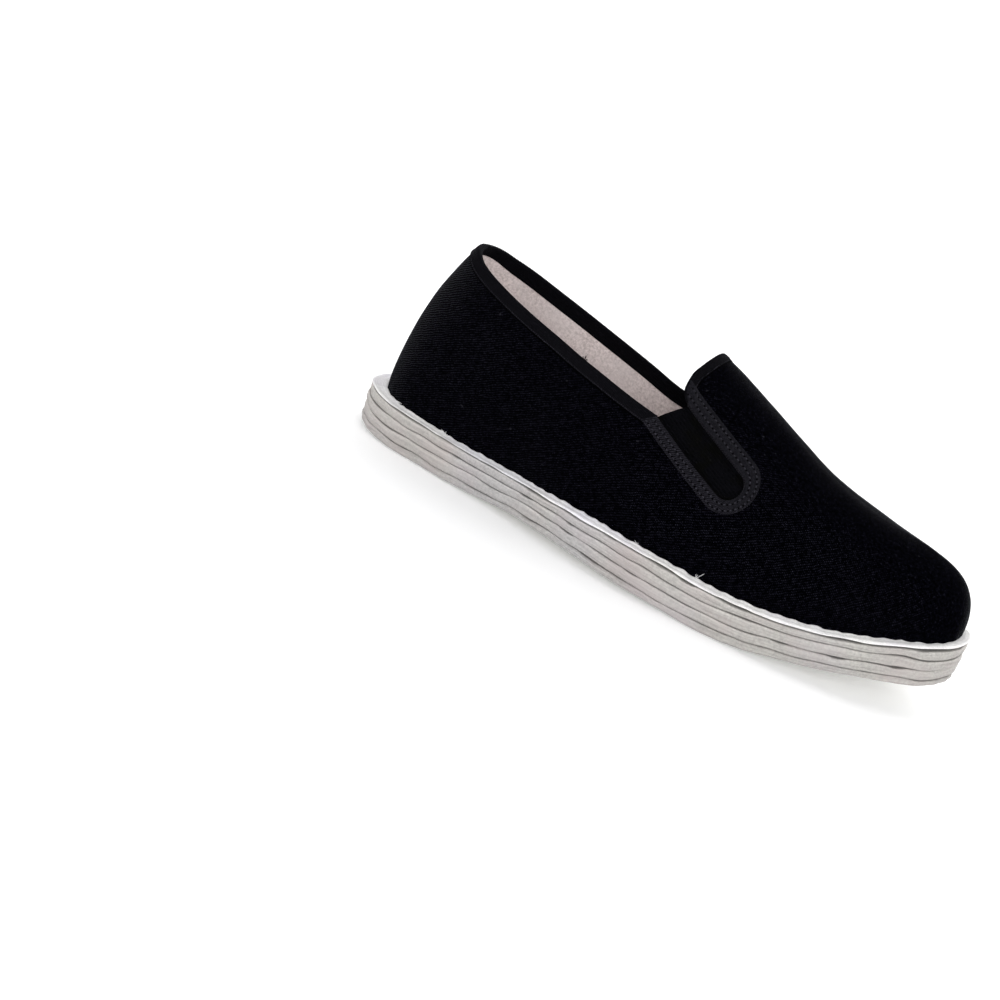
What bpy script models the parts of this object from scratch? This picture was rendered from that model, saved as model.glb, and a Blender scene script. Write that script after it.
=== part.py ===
"""Chinese cloth shoe, right foot: a hollow cotton upper with two elastic gores on a stacked, stitched cloth sole.

Units are metres, +Z is up, the toe points to +X and the outer (lateral) side to -Y.
The origin is under the middle of the sole. Tables hold shares of the named sizes.
"""
import math

import bpy
import numpy as np

# Driving dimensions of the sole
SOLE_LENGTH = 0.275
BALL_WIDTH = 0.0976
SOLE_THICKNESS = 0.0185
TOE_SPRING = 0.015
ARCH_LIFT = 0.0015
HEEL_LIFT = 0.0032
LAYER_GAP = 0.0003
LAYER_ROUNDING = 0.0007

# Driving dimensions of the upper
LAST_HEIGHT = 0.102
WALL = 0.0018
SEAT_GAP = 0.0003
FEATHER_INSET = 0.0046
HEEL_INSET = 0.0068
SIDE_BULGE = 0.0055
CROWN_SHIFT = 0.004
COLLAR_HEIGHT = 0.073
GORE_HALF_WIDTH = 0.006
GORE_MARGIN = 0.0045
GORE_THICKNESS = 0.0011
TAPE_THICKNESS = 0.0006
TAPE_DEPTH = 0.006
TAPE_END_GAP = 0.0005
TAPE_SOFTNESS = 0.8
INSOLE_THICKNESS = 0.003
INSOLE_GAP = 0.0005

# How finely the surfaces are cut up
RING_STEPS = 46
UPPER_ROWS = 12
TAB_STEPS = 8
GORE_COLUMNS = 8
GORE_ROWS = 10
ARC_STEPS = 10
COLLAR_STEPS = 15
LENGTH_STEPS = 2000
SHARPEST_SMOOTH = math.radians(40)
MERGE_DISTANCE = 1e-6

# Searches on the last: step for slopes, rounds of halving and of Newton's steps, longest of those steps,
# how far phi stays from both ends, the part of tau where a search starts and ends
NUDGE = 1e-3
CROWN_END_STEP = 0.03
HALVING_ROUNDS = 40
NEWTON_ROUNDS = 30
LONGEST_STEP = (0.1, 0.2)
PHI_MARGIN = 0.02
START_GUESS = (0.5, 0.7)
COLLAR_SEARCH = (0.1, 0.7)
TAB_SEARCH = (0.3, 0.7)
TAPE_SEARCH = 0.1
SHORTEST_TAPE_STEP = 0.01

# Sole outline: share of the length, half width and centre line as shares of the ball width
PLAN = [
    (0.00, 0.297, 0.0720),
    (0.12, 0.302, 0.0570),
    (0.28, 0.325, -0.0015),
    (0.42, 0.413, -0.0300),
    (0.56, 0.500, -0.0005),
    (0.68, 0.492, 0.0056),
    (0.80, 0.456, 0.0160),
    (1.00, 0.369, 0.0364),
]
HEEL_CAP, HEEL_ROUNDNESS = 0.14, 2.3
TOE_CAP, TOE_ROUNDNESS = 0.28, 2.6
# Shares of the length where the sole leaves the floor and comes back to it
HEEL_FLAT, ARCH_START, ARCH_END, BALL_FLAT = 0.12, 0.20, 0.56, 0.68

# Stack of the sole, from the floor up: name, share of the thickness, share of the rounding that it stands proud
LAYERS = [
    ("sole_layer_1_tread", 0.150, -0.6),
    ("sole_layer_2", 0.222, 0.1),
    ("sole_layer_3", 0.227, 0.3),
    ("sole_layer_4", 0.227, 0.0),
    ("welt_strip", 0.174, 0.4),
]

# Last above the sole: share of the length, height as a share of LAST_HEIGHT, squareness of the section,
# outward bulge as a share of SIDE_BULGE, sideways shift of the crown as a share of CROWN_SHIFT
LAST = [
    (0.000, 0.980, 2.10, 0.00, 0.00),
    (0.100, 1.000, 2.40, 0.36, 0.00),
    (0.180, 0.990, 2.90, 0.90, 0.00),
    (0.270, 0.961, 3.00, 1.00, 0.00),
    (0.335, 0.912, 2.80, 0.82, 0.00),
    (0.390, 0.846, 2.50, 0.48, 0.00),
    (0.445, 0.777, 2.15, 0.22, 0.25),
    (0.505, 0.732, 2.02, 0.12, 0.50),
    (0.571, 0.667, 2.10, 0.13, 0.75),
    (0.655, 0.569, 2.10, 0.15, 1.00),
    (0.733, 0.477, 2.10, 0.18, 1.00),
    (0.800, 0.416, 2.20, 0.18, 0.75),
    (0.855, 0.371, 2.30, 0.18, 0.50),
    (0.905, 0.331, 2.50, 0.18, 0.25),
    (1.000, 0.255, 2.80, 0.15, 0.00),
]

# Where each rib of the last meets the crown: share of the way round the half outline, share of the length
FAN = [(0.0, 0.26), (0.2, 0.29), (0.4, 0.42), (0.5, 0.50), (0.6, 0.58), (0.8, 0.745), (1.0, 0.855)]

# Opening seen from the side: share of the length, height above the sole as a share of COLLAR_HEIGHT
COLLAR = [
    (0.000, 1.022),
    (0.085, 1.012),
    (0.127, 0.956),
    (0.180, 0.900),
    (0.270, 0.819),
    (0.336, 0.764),
    (0.392, 0.720),
    (0.447, 0.672),
    (0.481, 0.650),
]
TAB_EDGE = [(0.515, 0.777), (0.5015, 0.845), (0.5000, 0.912), (0.5040, 0.966), (0.5085, 1.027), (0.5130, 1.190)]
# The gore's slot: middle of its round end, and its slope in degrees, running down towards the toe
GORE_END = (0.621, 0.500)
GORE_SLOPE = 25.5
# How far the opening's cutter reaches past the heel and the crown, as a share of the length and of the last's height
PAST_THE_SHOE = 0.3


def clear_scene():
    for obj in list(bpy.data.objects):
        bpy.data.objects.remove(obj, do_unlink=True)


def smooth_table(rows, column, scale=1.0):
    """Returns a function that runs smoothly through one column of a table, with no overshoot."""
    xs = np.array([row[0] for row in rows], float)
    ys = np.array([row[column] for row in rows], float) * scale
    step = np.diff(xs)
    slope = np.diff(ys) / step
    tangent = np.concatenate([slope[:1], np.zeros(len(xs) - 2), slope[-1:]])
    for k in range(1, len(xs) - 1):
        if slope[k - 1] * slope[k] > 0:
            near, far = 2 * step[k] + step[k - 1], step[k] + 2 * step[k - 1]
            tangent[k] = (near + far) / (near / slope[k - 1] + far / slope[k])

    def value(x):
        x = np.clip(np.asarray(x, float), xs[0], xs[-1])
        k = np.clip(np.searchsorted(xs, x) - 1, 0, len(step) - 1)
        t = (x - xs[k]) / step[k]
        ends = (1 + 2 * t) * (1 - t) ** 2 * ys[k] + t * t * (3 - 2 * t) * ys[k + 1]
        return ends + step[k] * (t * (1 - t) ** 2 * tangent[k] + t * t * (t - 1) * tangent[k + 1])

    return value


half_width = smooth_table(PLAN, 1, BALL_WIDTH)
centre_line = smooth_table(PLAN, 2, BALL_WIDTH)
crown_height = smooth_table(LAST, 1, LAST_HEIGHT)
squareness = smooth_table(LAST, 2)
bulge = smooth_table(LAST, 3, SIDE_BULGE)
crown_shift = smooth_table(LAST, 4, CROWN_SHIFT)
crown_place = smooth_table(FAN, 1)
collar_height = smooth_table(COLLAR, 1, COLLAR_HEIGHT)
tab_place = smooth_table([(height, s) for s, height in TAB_EDGE], 1)


def feather_inset(s):
    """Distance from the sole's edge in to the upper: more round the heel."""
    heel = np.clip((2 * HEEL_CAP - s) / (2 * HEEL_CAP), 0, 1) ** 2
    return FEATHER_INSET + (HEEL_INSET - FEATHER_INSET) * heel


def share(x):
    """Share of the sole's length at a place x, from the back of the heel."""
    return np.asarray(x) / SOLE_LENGTH + 0.5


def place(s):
    return (np.asarray(s) - 0.5) * SOLE_LENGTH


def rise(x):
    """Height of the sole's bottom over the floor: heel roll, arch and toe spring, flat under heel and ball."""
    s = share(x)
    toe = TOE_SPRING * np.clip((s - BALL_FLAT) / (1 - BALL_FLAT), 0, 1) ** 2
    heel = HEEL_LIFT * np.clip((HEEL_FLAT - s) / HEEL_FLAT, 0, 1) ** 2
    arch = np.clip((s - ARCH_START) / (ARCH_END - ARCH_START), 0, 1)
    return toe + heel + ARCH_LIFT * np.sin(math.pi * arch) ** 2


def edge_point(side, tau):
    """Point of the sole's outline; side is -1 outer or 1 inner, tau runs from heel (0) to toe (1) and wraps round."""
    tau = np.asarray(tau, float)
    side = np.where((tau < 0) | (tau > 1), -side, side)
    tau = np.where(tau < 0, -tau, np.where(tau > 1, 2 - tau, tau))
    s = 0.5 - 0.5 * np.cos(math.pi * tau)
    heel = np.clip(1 - s / HEEL_CAP, 0, 1) ** HEEL_ROUNDNESS
    toe = np.clip((s - (1 - TOE_CAP)) / TOE_CAP, 0, 1) ** TOE_ROUNDNESS
    cap = (1 - heel) ** (1 / HEEL_ROUNDNESS) * (1 - toe) ** (1 / TOE_ROUNDNESS)
    return np.stack([place(s), centre_line(s) + side * half_width(s) * cap], -1)


def outline(side, tau, inset):
    """The sole's outline moved inwards by inset, square to the edge."""
    along = edge_point(side, tau + NUDGE) - edge_point(side, tau - NUDGE)
    along /= np.linalg.norm(along, axis=-1, keepdims=True)
    inward = -side * np.stack([-along[..., 1], along[..., 0]], -1)
    return edge_point(side, tau) + inward * np.asarray(inset)[..., None]


def even_places(steps):
    """Values of tau that cut half of the outline into equal lengths."""
    fine = np.linspace(0, 1, LENGTH_STEPS + 1)
    length = np.cumsum(np.linalg.norm(np.diff(edge_point(1, fine), axis=0), axis=1))
    return np.interp(np.linspace(0, length[-1], steps + 1), np.concatenate([[0], length]), fine)


def feather(side, tau):
    """Line where the upper stands on the sole."""
    return outline(side, tau, feather_inset(share(edge_point(side, tau)[..., 0])))


def last_skin(side, tau, phi):
    """Point of the upper's outer face; phi runs from the sole (0) to the crown (pi/2) and over to the other side."""
    tau, phi = np.broadcast_arrays(np.asarray(tau, float), np.asarray(phi, float))
    over = phi > math.pi / 2
    side = np.where(over ^ (tau < 0) ^ (tau > 1), -side, side)
    tau = np.where(tau < 0, -tau, np.where(tau > 1, 2 - tau, tau))
    phi = np.clip(np.where(over, math.pi - phi, phi), 0, math.pi / 2)
    foot = np.where((side > 0)[..., None], feather(1, tau), feather(-1, tau))
    top = crown_place(tau)
    crown = np.stack([place(top), centre_line(top) + crown_shift(top)], -1)
    power = 2 / squareness(share(foot[..., 0]))
    inwards = 1 - np.clip(np.cos(phi), 0, 1) ** power
    upwards = np.sin(phi) ** power
    plan = foot + (crown - foot) * inwards[..., None]
    away = foot - crown
    away /= np.linalg.norm(away, axis=-1, keepdims=True)
    belly = 4 * upwards * (1 - upwards) * bulge(share(plan[..., 0]))
    plan = plan + away * belly[..., None]
    base = rise(foot[..., 0])
    roof = crown_height(share(plan[..., 0])) + rise(plan[..., 0])
    height = SOLE_THICKNESS + SEAT_GAP + base + (roof - base) * upwards
    return np.concatenate([plan, height[..., None]], -1)


def normal_at(side, tau, phi):
    """Outward normal of the outer face; at the two ends of the crown it is taken a little lower down."""
    at_end = (phi > math.pi / 2 - NUDGE) & ((tau < NUDGE) | (tau > 1 - NUDGE))
    phi = np.where(at_end, phi - CROWN_END_STEP, phi)
    ahead = last_skin(side, tau + NUDGE, phi) - last_skin(side, tau - NUDGE, phi)
    up = last_skin(side, tau, phi + NUDGE) - last_skin(side, tau, np.maximum(phi - NUDGE, 0))
    out = -side * np.cross(ahead, up)
    return out / np.linalg.norm(out, axis=-1, keepdims=True)


def last_point(side, tau, phi, offset=0.0):
    """Point of the upper's outer face moved outwards by offset."""
    tau, phi = np.broadcast_arrays(np.asarray(tau, float), np.asarray(phi, float))
    return last_skin(side, tau, phi) + normal_at(side, tau, phi) * offset


def halve(wrong_side, low, high):
    """Finds by halving where wrong_side turns from true to false between two arrays."""
    for _ in range(HALVING_ROUNDS):
        middle = (low + high) / 2
        wrong = wrong_side(middle)
        low, high = np.where(wrong, middle, low), np.where(wrong, high, middle)
    return (low + high) / 2


def collar_z(x):
    return SOLE_THICKNESS + collar_height(share(x))


def tab_x(z):
    return place(tab_place((z - SOLE_THICKNESS) / COLLAR_HEIGHT))


def collar_phi(side, tau):
    """Where each rib of the last crosses the collar."""

    def below(phi):
        at = last_skin(side, tau, phi)
        return at[..., 2] < collar_z(at[..., 0])

    return halve(below, np.zeros_like(tau), np.full_like(tau, math.pi / 2))


def collar_end(side):
    """Rib on which the collar ends at the gore."""

    def behind(tau):
        return last_skin(side, tau, collar_phi(side, tau))[..., 0] < place(COLLAR[-1][0])

    first, last = COLLAR_SEARCH
    return float(halve(behind, np.array([first]), np.array([last]))[0])


def skin_at(side, x, z):
    """Finds tau and phi of the outer face's point that shows at x, z from the side, by Newton's steps."""
    tau, phi = (np.full_like(x, guess) for guess in START_GUESS)
    most_tau, most_phi = LONGEST_STEP
    for _ in range(NEWTON_ROUNDS):
        here = last_skin(side, tau, phi)
        by_tau = (last_skin(side, tau + NUDGE, phi) - here) / NUDGE
        by_phi = (last_skin(side, tau, phi + NUDGE) - here) / NUDGE
        miss_x, miss_z = x - here[..., 0], z - here[..., 2]
        size = by_tau[..., 0] * by_phi[..., 2] - by_tau[..., 2] * by_phi[..., 0]
        step_tau = (miss_x * by_phi[..., 2] - miss_z * by_phi[..., 0]) / size
        step_phi = (miss_z * by_tau[..., 0] - miss_x * by_tau[..., 2]) / size
        tau = tau + np.clip(step_tau, -most_tau, most_tau)
        phi = phi + np.clip(step_phi, -most_phi, most_phi)
        phi = np.clip(phi, PHI_MARGIN, math.pi / 2 - PHI_MARGIN)
    return tau, phi


def material(name, colour, roughness):
    made = bpy.data.materials.new(name)
    made.use_nodes = True
    shader = made.node_tree.nodes["Principled BSDF"]
    shader.inputs["Base Color"].default_value = (*colour, 1)
    shader.inputs["Roughness"].default_value = roughness
    shader.inputs["Metallic"].default_value = 0
    made.diffuse_color = (*colour, 1)
    return made


class Shell:
    """Gathers faces over grids of points, then makes one closed object of them."""

    def __init__(self):
        self.points, self.faces, self.count = [], [], 0

    def grid(self, points, around=False, across=False):
        """Adds the quads of a grid of points; around or across joins its last row or column to the first."""
        rows, columns = points.shape[:2]
        ids = np.arange(rows * columns).reshape(rows, columns) + self.count
        self.points.append(points.reshape(-1, 3))
        self.count += rows * columns
        for i in range(rows if around else rows - 1):
            for j in range(columns if across else columns - 1):
                k, m = (i + 1) % rows, (j + 1) % columns
                self.faces.append([ids[i, j], ids[k, j], ids[k, m], ids[i, m]])
        return ids

    def face(self, ids):
        self.faces.append([int(k) for k in ids])

    def bridge(self, first, second):
        """Adds quads between two rows of points that are already in the shell."""
        for k in range(len(first) - 1):
            self.face([first[k], first[k + 1], second[k + 1], second[k]])

    def build(self, name, look):
        mesh = bpy.data.meshes.new(name)
        mesh.from_pydata(np.concatenate(self.points).tolist(), [], self.faces)
        obj = bpy.data.objects.new(name, mesh)
        bpy.context.scene.collection.objects.link(obj)
        bpy.context.view_layer.objects.active = obj
        bpy.ops.object.select_all(action="DESELECT")
        obj.select_set(True)
        bpy.ops.object.mode_set(mode="EDIT")
        bpy.ops.mesh.select_all(action="SELECT")
        bpy.ops.mesh.remove_doubles(threshold=MERGE_DISTANCE)
        bpy.ops.mesh.normals_make_consistent(inside=False)
        bpy.ops.object.mode_set(mode="OBJECT")
        if look is not None:
            mesh.materials.append(look)
        mesh.shade_smooth()
        mesh.set_sharp_from_angle(angle=SHARPEST_SMOOTH)
        return obj


def plate(name, look, low, high, section, follow=np.zeros_like):
    """A layer that follows the sole's bend.

    section holds its edge as (share of the height, inset), and follow gives a further inset along the sole.
    """
    tau = even_places(RING_STEPS)
    rows = []
    for part, inset in section:
        halves = []
        for side in (-1, 1):
            further = follow(share(edge_point(side, tau)[:, 0]))
            halves.append(outline(side, tau, inset + further))
        ring = np.concatenate([halves[0], halves[1][-2:0:-1]])
        level = rise(ring[:, 0]) + low + (high - low) * part
        rows.append(np.concatenate([ring, level[:, None]], -1))
    shell = Shell()
    ids = shell.grid(np.array(rows), across=True)
    for row in (ids[0], ids[-1]):
        outer = row[:RING_STEPS + 1]
        inner = np.concatenate([row[:1], row[:RING_STEPS - 1:-1]])
        for k in range(RING_STEPS):
            shell.face(dict.fromkeys([outer[k], outer[k + 1], inner[k + 1], inner[k]]))
    return shell.build(name, look)


def sole(looks):
    """Five stacked cloth layers, each with a rounded edge."""
    level = 0.0
    for name, part, proud in LAYERS:
        topmost = name == LAYERS[-1][0]
        thickness = part * SOLE_THICKNESS
        high = level + thickness - LAYER_GAP * (not topmost)
        inset = LAYER_ROUNDING * (1 - proud) / 2
        corner = LAYER_ROUNDING / (high - level)
        section = [(0, inset + LAYER_ROUNDING), (corner, inset), (1 - corner, inset), (1, inset + LAYER_ROUNDING)]
        plate(name, looks["welt" if topmost else "sole"], level, high, section)
        level += thickness


def insole(look):
    """Thin cloth-covered board inside the upper, clear of its wall."""
    low = SOLE_THICKNESS + SEAT_GAP
    inset = WALL + INSOLE_GAP
    soft = INSOLE_THICKNESS / 4
    section = [(0, inset), (1 - soft / INSOLE_THICKNESS, inset), (1, inset + soft)]
    plate("insole", look, low, low + INSOLE_THICKNESS, section, feather_inset)


def opening_outline():
    """The opening seen from the side: collar, gore slots and the tab's edge, closed clear of the shoe."""
    beyond = place(-PAST_THE_SHOE)
    collar = np.linspace(0, COLLAR[-1][0], COLLAR_STEPS + 1)
    points = [(beyond, collar_z(place(0)))] + [(place(s), collar_z(place(s))) for s in collar]
    middle_x, middle_z = gore_end()
    slope = math.radians(GORE_SLOPE)
    for k in range(ARC_STEPS + 1):
        turn = -slope - math.pi / 2 + math.pi * k / ARC_STEPS
        points.append((middle_x + GORE_HALF_WIDTH * math.cos(turn), middle_z + GORE_HALF_WIDTH * math.sin(turn)))
    for s, height in TAB_EDGE:
        points.append((place(s), SOLE_THICKNESS + height * COLLAR_HEIGHT))
    roof = SOLE_THICKNESS + (1 + PAST_THE_SHOE) * LAST_HEIGHT
    return points + [(place(TAB_EDGE[-1][0]), roof), (beyond, roof)]


def gore_end():
    return place(GORE_END[0]), SOLE_THICKNESS + GORE_END[1] * COLLAR_HEIGHT


def tab_corner():
    """Where the tab's edge meets the gore's slot, seen from the side."""
    return place(TAB_EDGE[0][0]), SOLE_THICKNESS + TAB_EDGE[0][1] * COLLAR_HEIGHT


def opening_cutter():
    """Prism of the opening's outline, through both sides of the upper."""
    points = opening_outline()
    shell = Shell()
    walls = np.array([[(x, y, z) for x, z in points] for y in (-BALL_WIDTH, BALL_WIDTH)])
    ids = shell.grid(walls, across=True)
    shell.face(ids[0])
    shell.face(ids[1])
    cutter = shell.build("opening_cutter", None)
    cutter.hide_render = True
    cutter.display_type = "WIRE"
    return cutter


def upper(look):
    """The hollow upper: the last's outer face and the same face a wall's thickness in, joined at the sole, then cut."""
    tau = even_places(RING_STEPS)[:, None]
    phi = np.linspace(0, math.pi / 2, UPPER_ROWS + 1)[None]
    shell = Shell()
    for side in (-1, 1):
        outer = shell.grid(last_point(side, tau, phi))
        inside = last_point(side, tau, phi, -WALL)
        inside[:, 0, 2] = SOLE_THICKNESS + SEAT_GAP + rise(inside[:, 0, 0])
        inner = shell.grid(inside)
        shell.bridge(outer[:, 0], inner[:, 0])
    obj = shell.build("upper", look)
    cut = obj.modifiers.new("opening", "BOOLEAN")
    cut.operation = "DIFFERENCE"
    cut.solver = "EXACT"
    cut.object = opening_cutter()
    return obj


def tape(name, look, edge, depth, cut_along):
    """Binding folded over an edge of the wall.

    edge and depth hold the outer face's points and normals at the edge and at the tape's lower edge,
    and cut_along a direction that lies in the cut across the wall, besides Y.
    """
    top, top_normal = edge
    low, low_normal = depth
    path = np.gradient(top, axis=0)
    path /= np.linalg.norm(path, axis=1, keepdims=True)
    off_edge = np.cross(path, top_normal)
    off_edge *= np.sign(np.sum(off_edge * (top - low), axis=1))[:, None]
    cut_normal = np.cross(np.array([0.0, 1.0, 0.0]), cut_along)
    across = np.cross(path, cut_normal)
    slant = -np.sum(across * off_edge, axis=1) / np.sum(across * top_normal, axis=1)
    stretch = np.sqrt(1 + slant**2)
    outer, inner = SEAT_GAP + TAPE_THICKNESS, -(WALL + SEAT_GAP + TAPE_THICKNESS)
    soft = TAPE_THICKNESS * TAPE_SOFTNESS

    def at_edge(out, up):
        return top + top_normal * out + off_edge * (slant * -out + up)[:, None]

    floor = SEAT_GAP * stretch
    roof = (SEAT_GAP + TAPE_THICKNESS) * stretch
    section = [
        low + low_normal * outer,
        at_edge(outer, roof - soft),
        at_edge(outer - soft, roof),
        at_edge(inner + soft, roof),
        at_edge(inner, roof - soft),
        low + low_normal * inner,
        low + low_normal * (inner + TAPE_THICKNESS),
        at_edge(inner + TAPE_THICKNESS, floor),
        at_edge(SEAT_GAP, floor),
        low + low_normal * SEAT_GAP,
    ]
    shell = Shell()
    ids = shell.grid(np.stack(section, 1), across=True)
    shell.face(ids[0])
    shell.face(ids[-1])
    return shell.build(name, look)


def collar_binding(look):
    """Tape over the collar, from one gore round the heel to the other."""
    stations = {side: collar_end(side) for side in (-1, 1)}
    halves = []
    for side in (-1, 1):
        ribs = even_places(RING_STEPS)
        end = stations[side] - TAPE_END_GAP / SOLE_LENGTH
        tau = np.concatenate([ribs[ribs < end - SHORTEST_TAPE_STEP], [end]])
        phi = collar_phi(side, tau)
        top = last_skin(side, tau, phi)

        def too_far(middle):
            return np.linalg.norm(last_skin(side, tau, middle) - top, axis=-1) > TAPE_DEPTH

        low = halve(too_far, np.zeros_like(phi), phi)
        halves.append([top, normal_at(side, tau, phi), last_skin(side, tau, low), normal_at(side, tau, low)])
    whole = [np.concatenate([outer[::-1], inner[1:]]) for outer, inner in zip(*halves)]
    ahead = collar_z(whole[0][:, 0] + NUDGE) - collar_z(whole[0][:, 0] - NUDGE)
    along = np.stack([np.full_like(ahead, 2 * NUDGE), np.zeros_like(ahead), ahead], -1)
    return tape("collar_binding", look, whole[:2], whole[2:], along)


def tab_binding(look):
    """Tape over the tab's edge, from one gore over the instep to the other."""
    corner_x, corner_z = tab_corner()
    halves = []
    for side in (-1, 1):
        _, first = skin_at(side, np.array([corner_x]), np.array([corner_z + TAPE_END_GAP]))
        phi = np.linspace(first[0], math.pi / 2, TAB_STEPS + 1)

        def behind(middle):
            at = last_skin(side, middle, phi)
            return at[..., 0] < tab_x(at[..., 2])

        tau = halve(behind, *(np.full_like(phi, end) for end in TAB_SEARCH))
        top = last_skin(side, tau, phi)

        def too_near(middle):
            return np.linalg.norm(last_skin(side, middle, phi) - top, axis=-1) < TAPE_DEPTH

        low = halve(too_near, tau, tau + TAPE_SEARCH)
        halves.append([top, normal_at(side, tau, phi), last_skin(side, low, phi), normal_at(side, low, phi)])
    whole = [np.concatenate([outer, inner[-2::-1]]) for outer, inner in zip(*halves)]
    lean = tab_x(whole[0][:, 2] + NUDGE) - tab_x(whole[0][:, 2] - NUDGE)
    along = np.stack([lean, np.zeros_like(lean), np.full_like(lean, 2 * NUDGE)], -1)
    return tape("tab_binding", look, whole[:2], whole[2:], along)


def gore(name, side, look):
    """Elastic panel behind the wall, wider than its slot by the sewn margin, clear of both tapes."""
    slope = math.radians(GORE_SLOPE)
    along = np.array([math.cos(slope), -math.sin(slope)])
    square = np.array([math.sin(slope), math.cos(slope)])
    end = np.array(gore_end())
    reach = GORE_HALF_WIDTH + GORE_MARGIN
    rear = np.array([place(COLLAR[-1][0]), collar_z(place(COLLAR[-1][0]))])
    front = np.array(tab_corner())
    inside = GORE_HALF_WIDTH - 2 * TAPE_THICKNESS
    mouth = [-reach, -inside, inside, GORE_HALF_WIDTH, reach]
    collar_start, tab_start = (rear - end) @ along, (front - end) @ along
    clear = TAPE_DEPTH + 2 * SEAT_GAP
    starts = [collar_start + clear / 2, collar_start + TAPE_END_GAP, tab_start, tab_start + clear, tab_start + clear]
    widths = np.unique(np.concatenate([np.linspace(-reach, reach, GORE_COLUMNS + 1), mouth]))
    first = np.interp(widths, mouth, starts)
    last = np.sqrt(np.maximum(reach**2 - widths**2, 0))
    run = first[:, None] + (last - first)[:, None] * np.linspace(0, 1, GORE_ROWS + 1)[None]
    seen = end + run[..., None] * along + widths[:, None, None] * square
    tau, phi = skin_at(side, seen[..., 0], seen[..., 1])
    near = WALL + SEAT_GAP
    shell = Shell()
    outer = shell.grid(last_point(side, tau, phi, -near))
    inner = shell.grid(last_point(side, tau, phi, -near - GORE_THICKNESS))
    for rim in ((0, slice(None)), (-1, slice(None)), (slice(None), 0), (slice(None), -1)):
        shell.bridge(outer[rim], inner[rim])
    return shell.build(name, look)


def main():
    clear_scene()
    looks = {
        "cotton": material("black_cotton", (0.012, 0.012, 0.015), 0.92),
        "tape": material("black_tape", (0.015, 0.015, 0.017), 0.85),
        "elastic": material("black_elastic", (0.014, 0.014, 0.013), 0.8),
        "sole": material("stitched_cloth", (0.68, 0.65, 0.61), 0.9),
        "welt": material("white_cloth", (0.82, 0.81, 0.83), 0.9),
        "lining": material("beige_lining", (0.55, 0.46, 0.42), 0.95),
    }
    sole(looks)
    insole(looks["lining"])
    upper(looks["cotton"])
    collar_binding(looks["tape"])
    tab_binding(looks["tape"])
    gore("gore_outer", -1, looks["elastic"])
    gore("gore_inner", 1, looks["elastic"])


main()
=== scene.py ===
"""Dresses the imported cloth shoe: twill upper, elastic gores, bound edges and a hand-stitched stacked sole.

Units are metres, in the part's own frame: toe to +X, outer side of the right foot to -Y, floor at Z = 0.
"""
import math

import bmesh
import bpy
import numpy as np
from mathutils import Matrix, Vector


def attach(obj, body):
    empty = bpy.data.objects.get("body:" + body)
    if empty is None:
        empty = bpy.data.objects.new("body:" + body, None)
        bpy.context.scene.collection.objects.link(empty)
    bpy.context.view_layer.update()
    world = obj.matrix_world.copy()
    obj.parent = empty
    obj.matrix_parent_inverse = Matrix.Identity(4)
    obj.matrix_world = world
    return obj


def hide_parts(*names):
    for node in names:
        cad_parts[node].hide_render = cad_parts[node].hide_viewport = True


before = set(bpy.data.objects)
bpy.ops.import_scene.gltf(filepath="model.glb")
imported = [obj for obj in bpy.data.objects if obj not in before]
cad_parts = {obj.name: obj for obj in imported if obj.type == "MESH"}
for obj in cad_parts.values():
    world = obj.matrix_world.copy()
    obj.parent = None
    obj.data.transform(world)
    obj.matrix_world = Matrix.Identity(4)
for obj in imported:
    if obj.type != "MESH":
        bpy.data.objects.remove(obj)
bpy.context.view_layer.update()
random = np.random.default_rng(7)
MM = 0.001

# The shapes of the part, from the same named sizes and tables as its source, apart from a lower vamp in front
# of the tab and a straighter back of the heel
SOLE_LENGTH = 0.275
BALL_WIDTH = 0.0976
SOLE_THICKNESS = 0.0185
TOE_SPRING = 0.015
ARCH_LIFT = 0.0015
HEEL_LIFT = 0.0032
LAST_HEIGHT = 0.102
WALL = 0.0018
SEAT_GAP = 0.0003
FEATHER_INSET = 0.0046
HEEL_INSET = 0.0068
SIDE_BULGE = 0.0055
CROWN_SHIFT = 0.004
COLLAR_HEIGHT = 0.073
GORE_HALF_WIDTH = 0.006
GORE_MARGIN = 0.0045
GORE_THICKNESS = 0.0011
TAPE_DEPTH = 0.006
INSOLE_THICKNESS = 0.003
NUDGE = 1e-3
# How far the upper's foot is sunk into the welt, and how far it stands out over it at the toe
BURIED = 0.9 * MM
TOE_FLARE = 2.2 * MM
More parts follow.
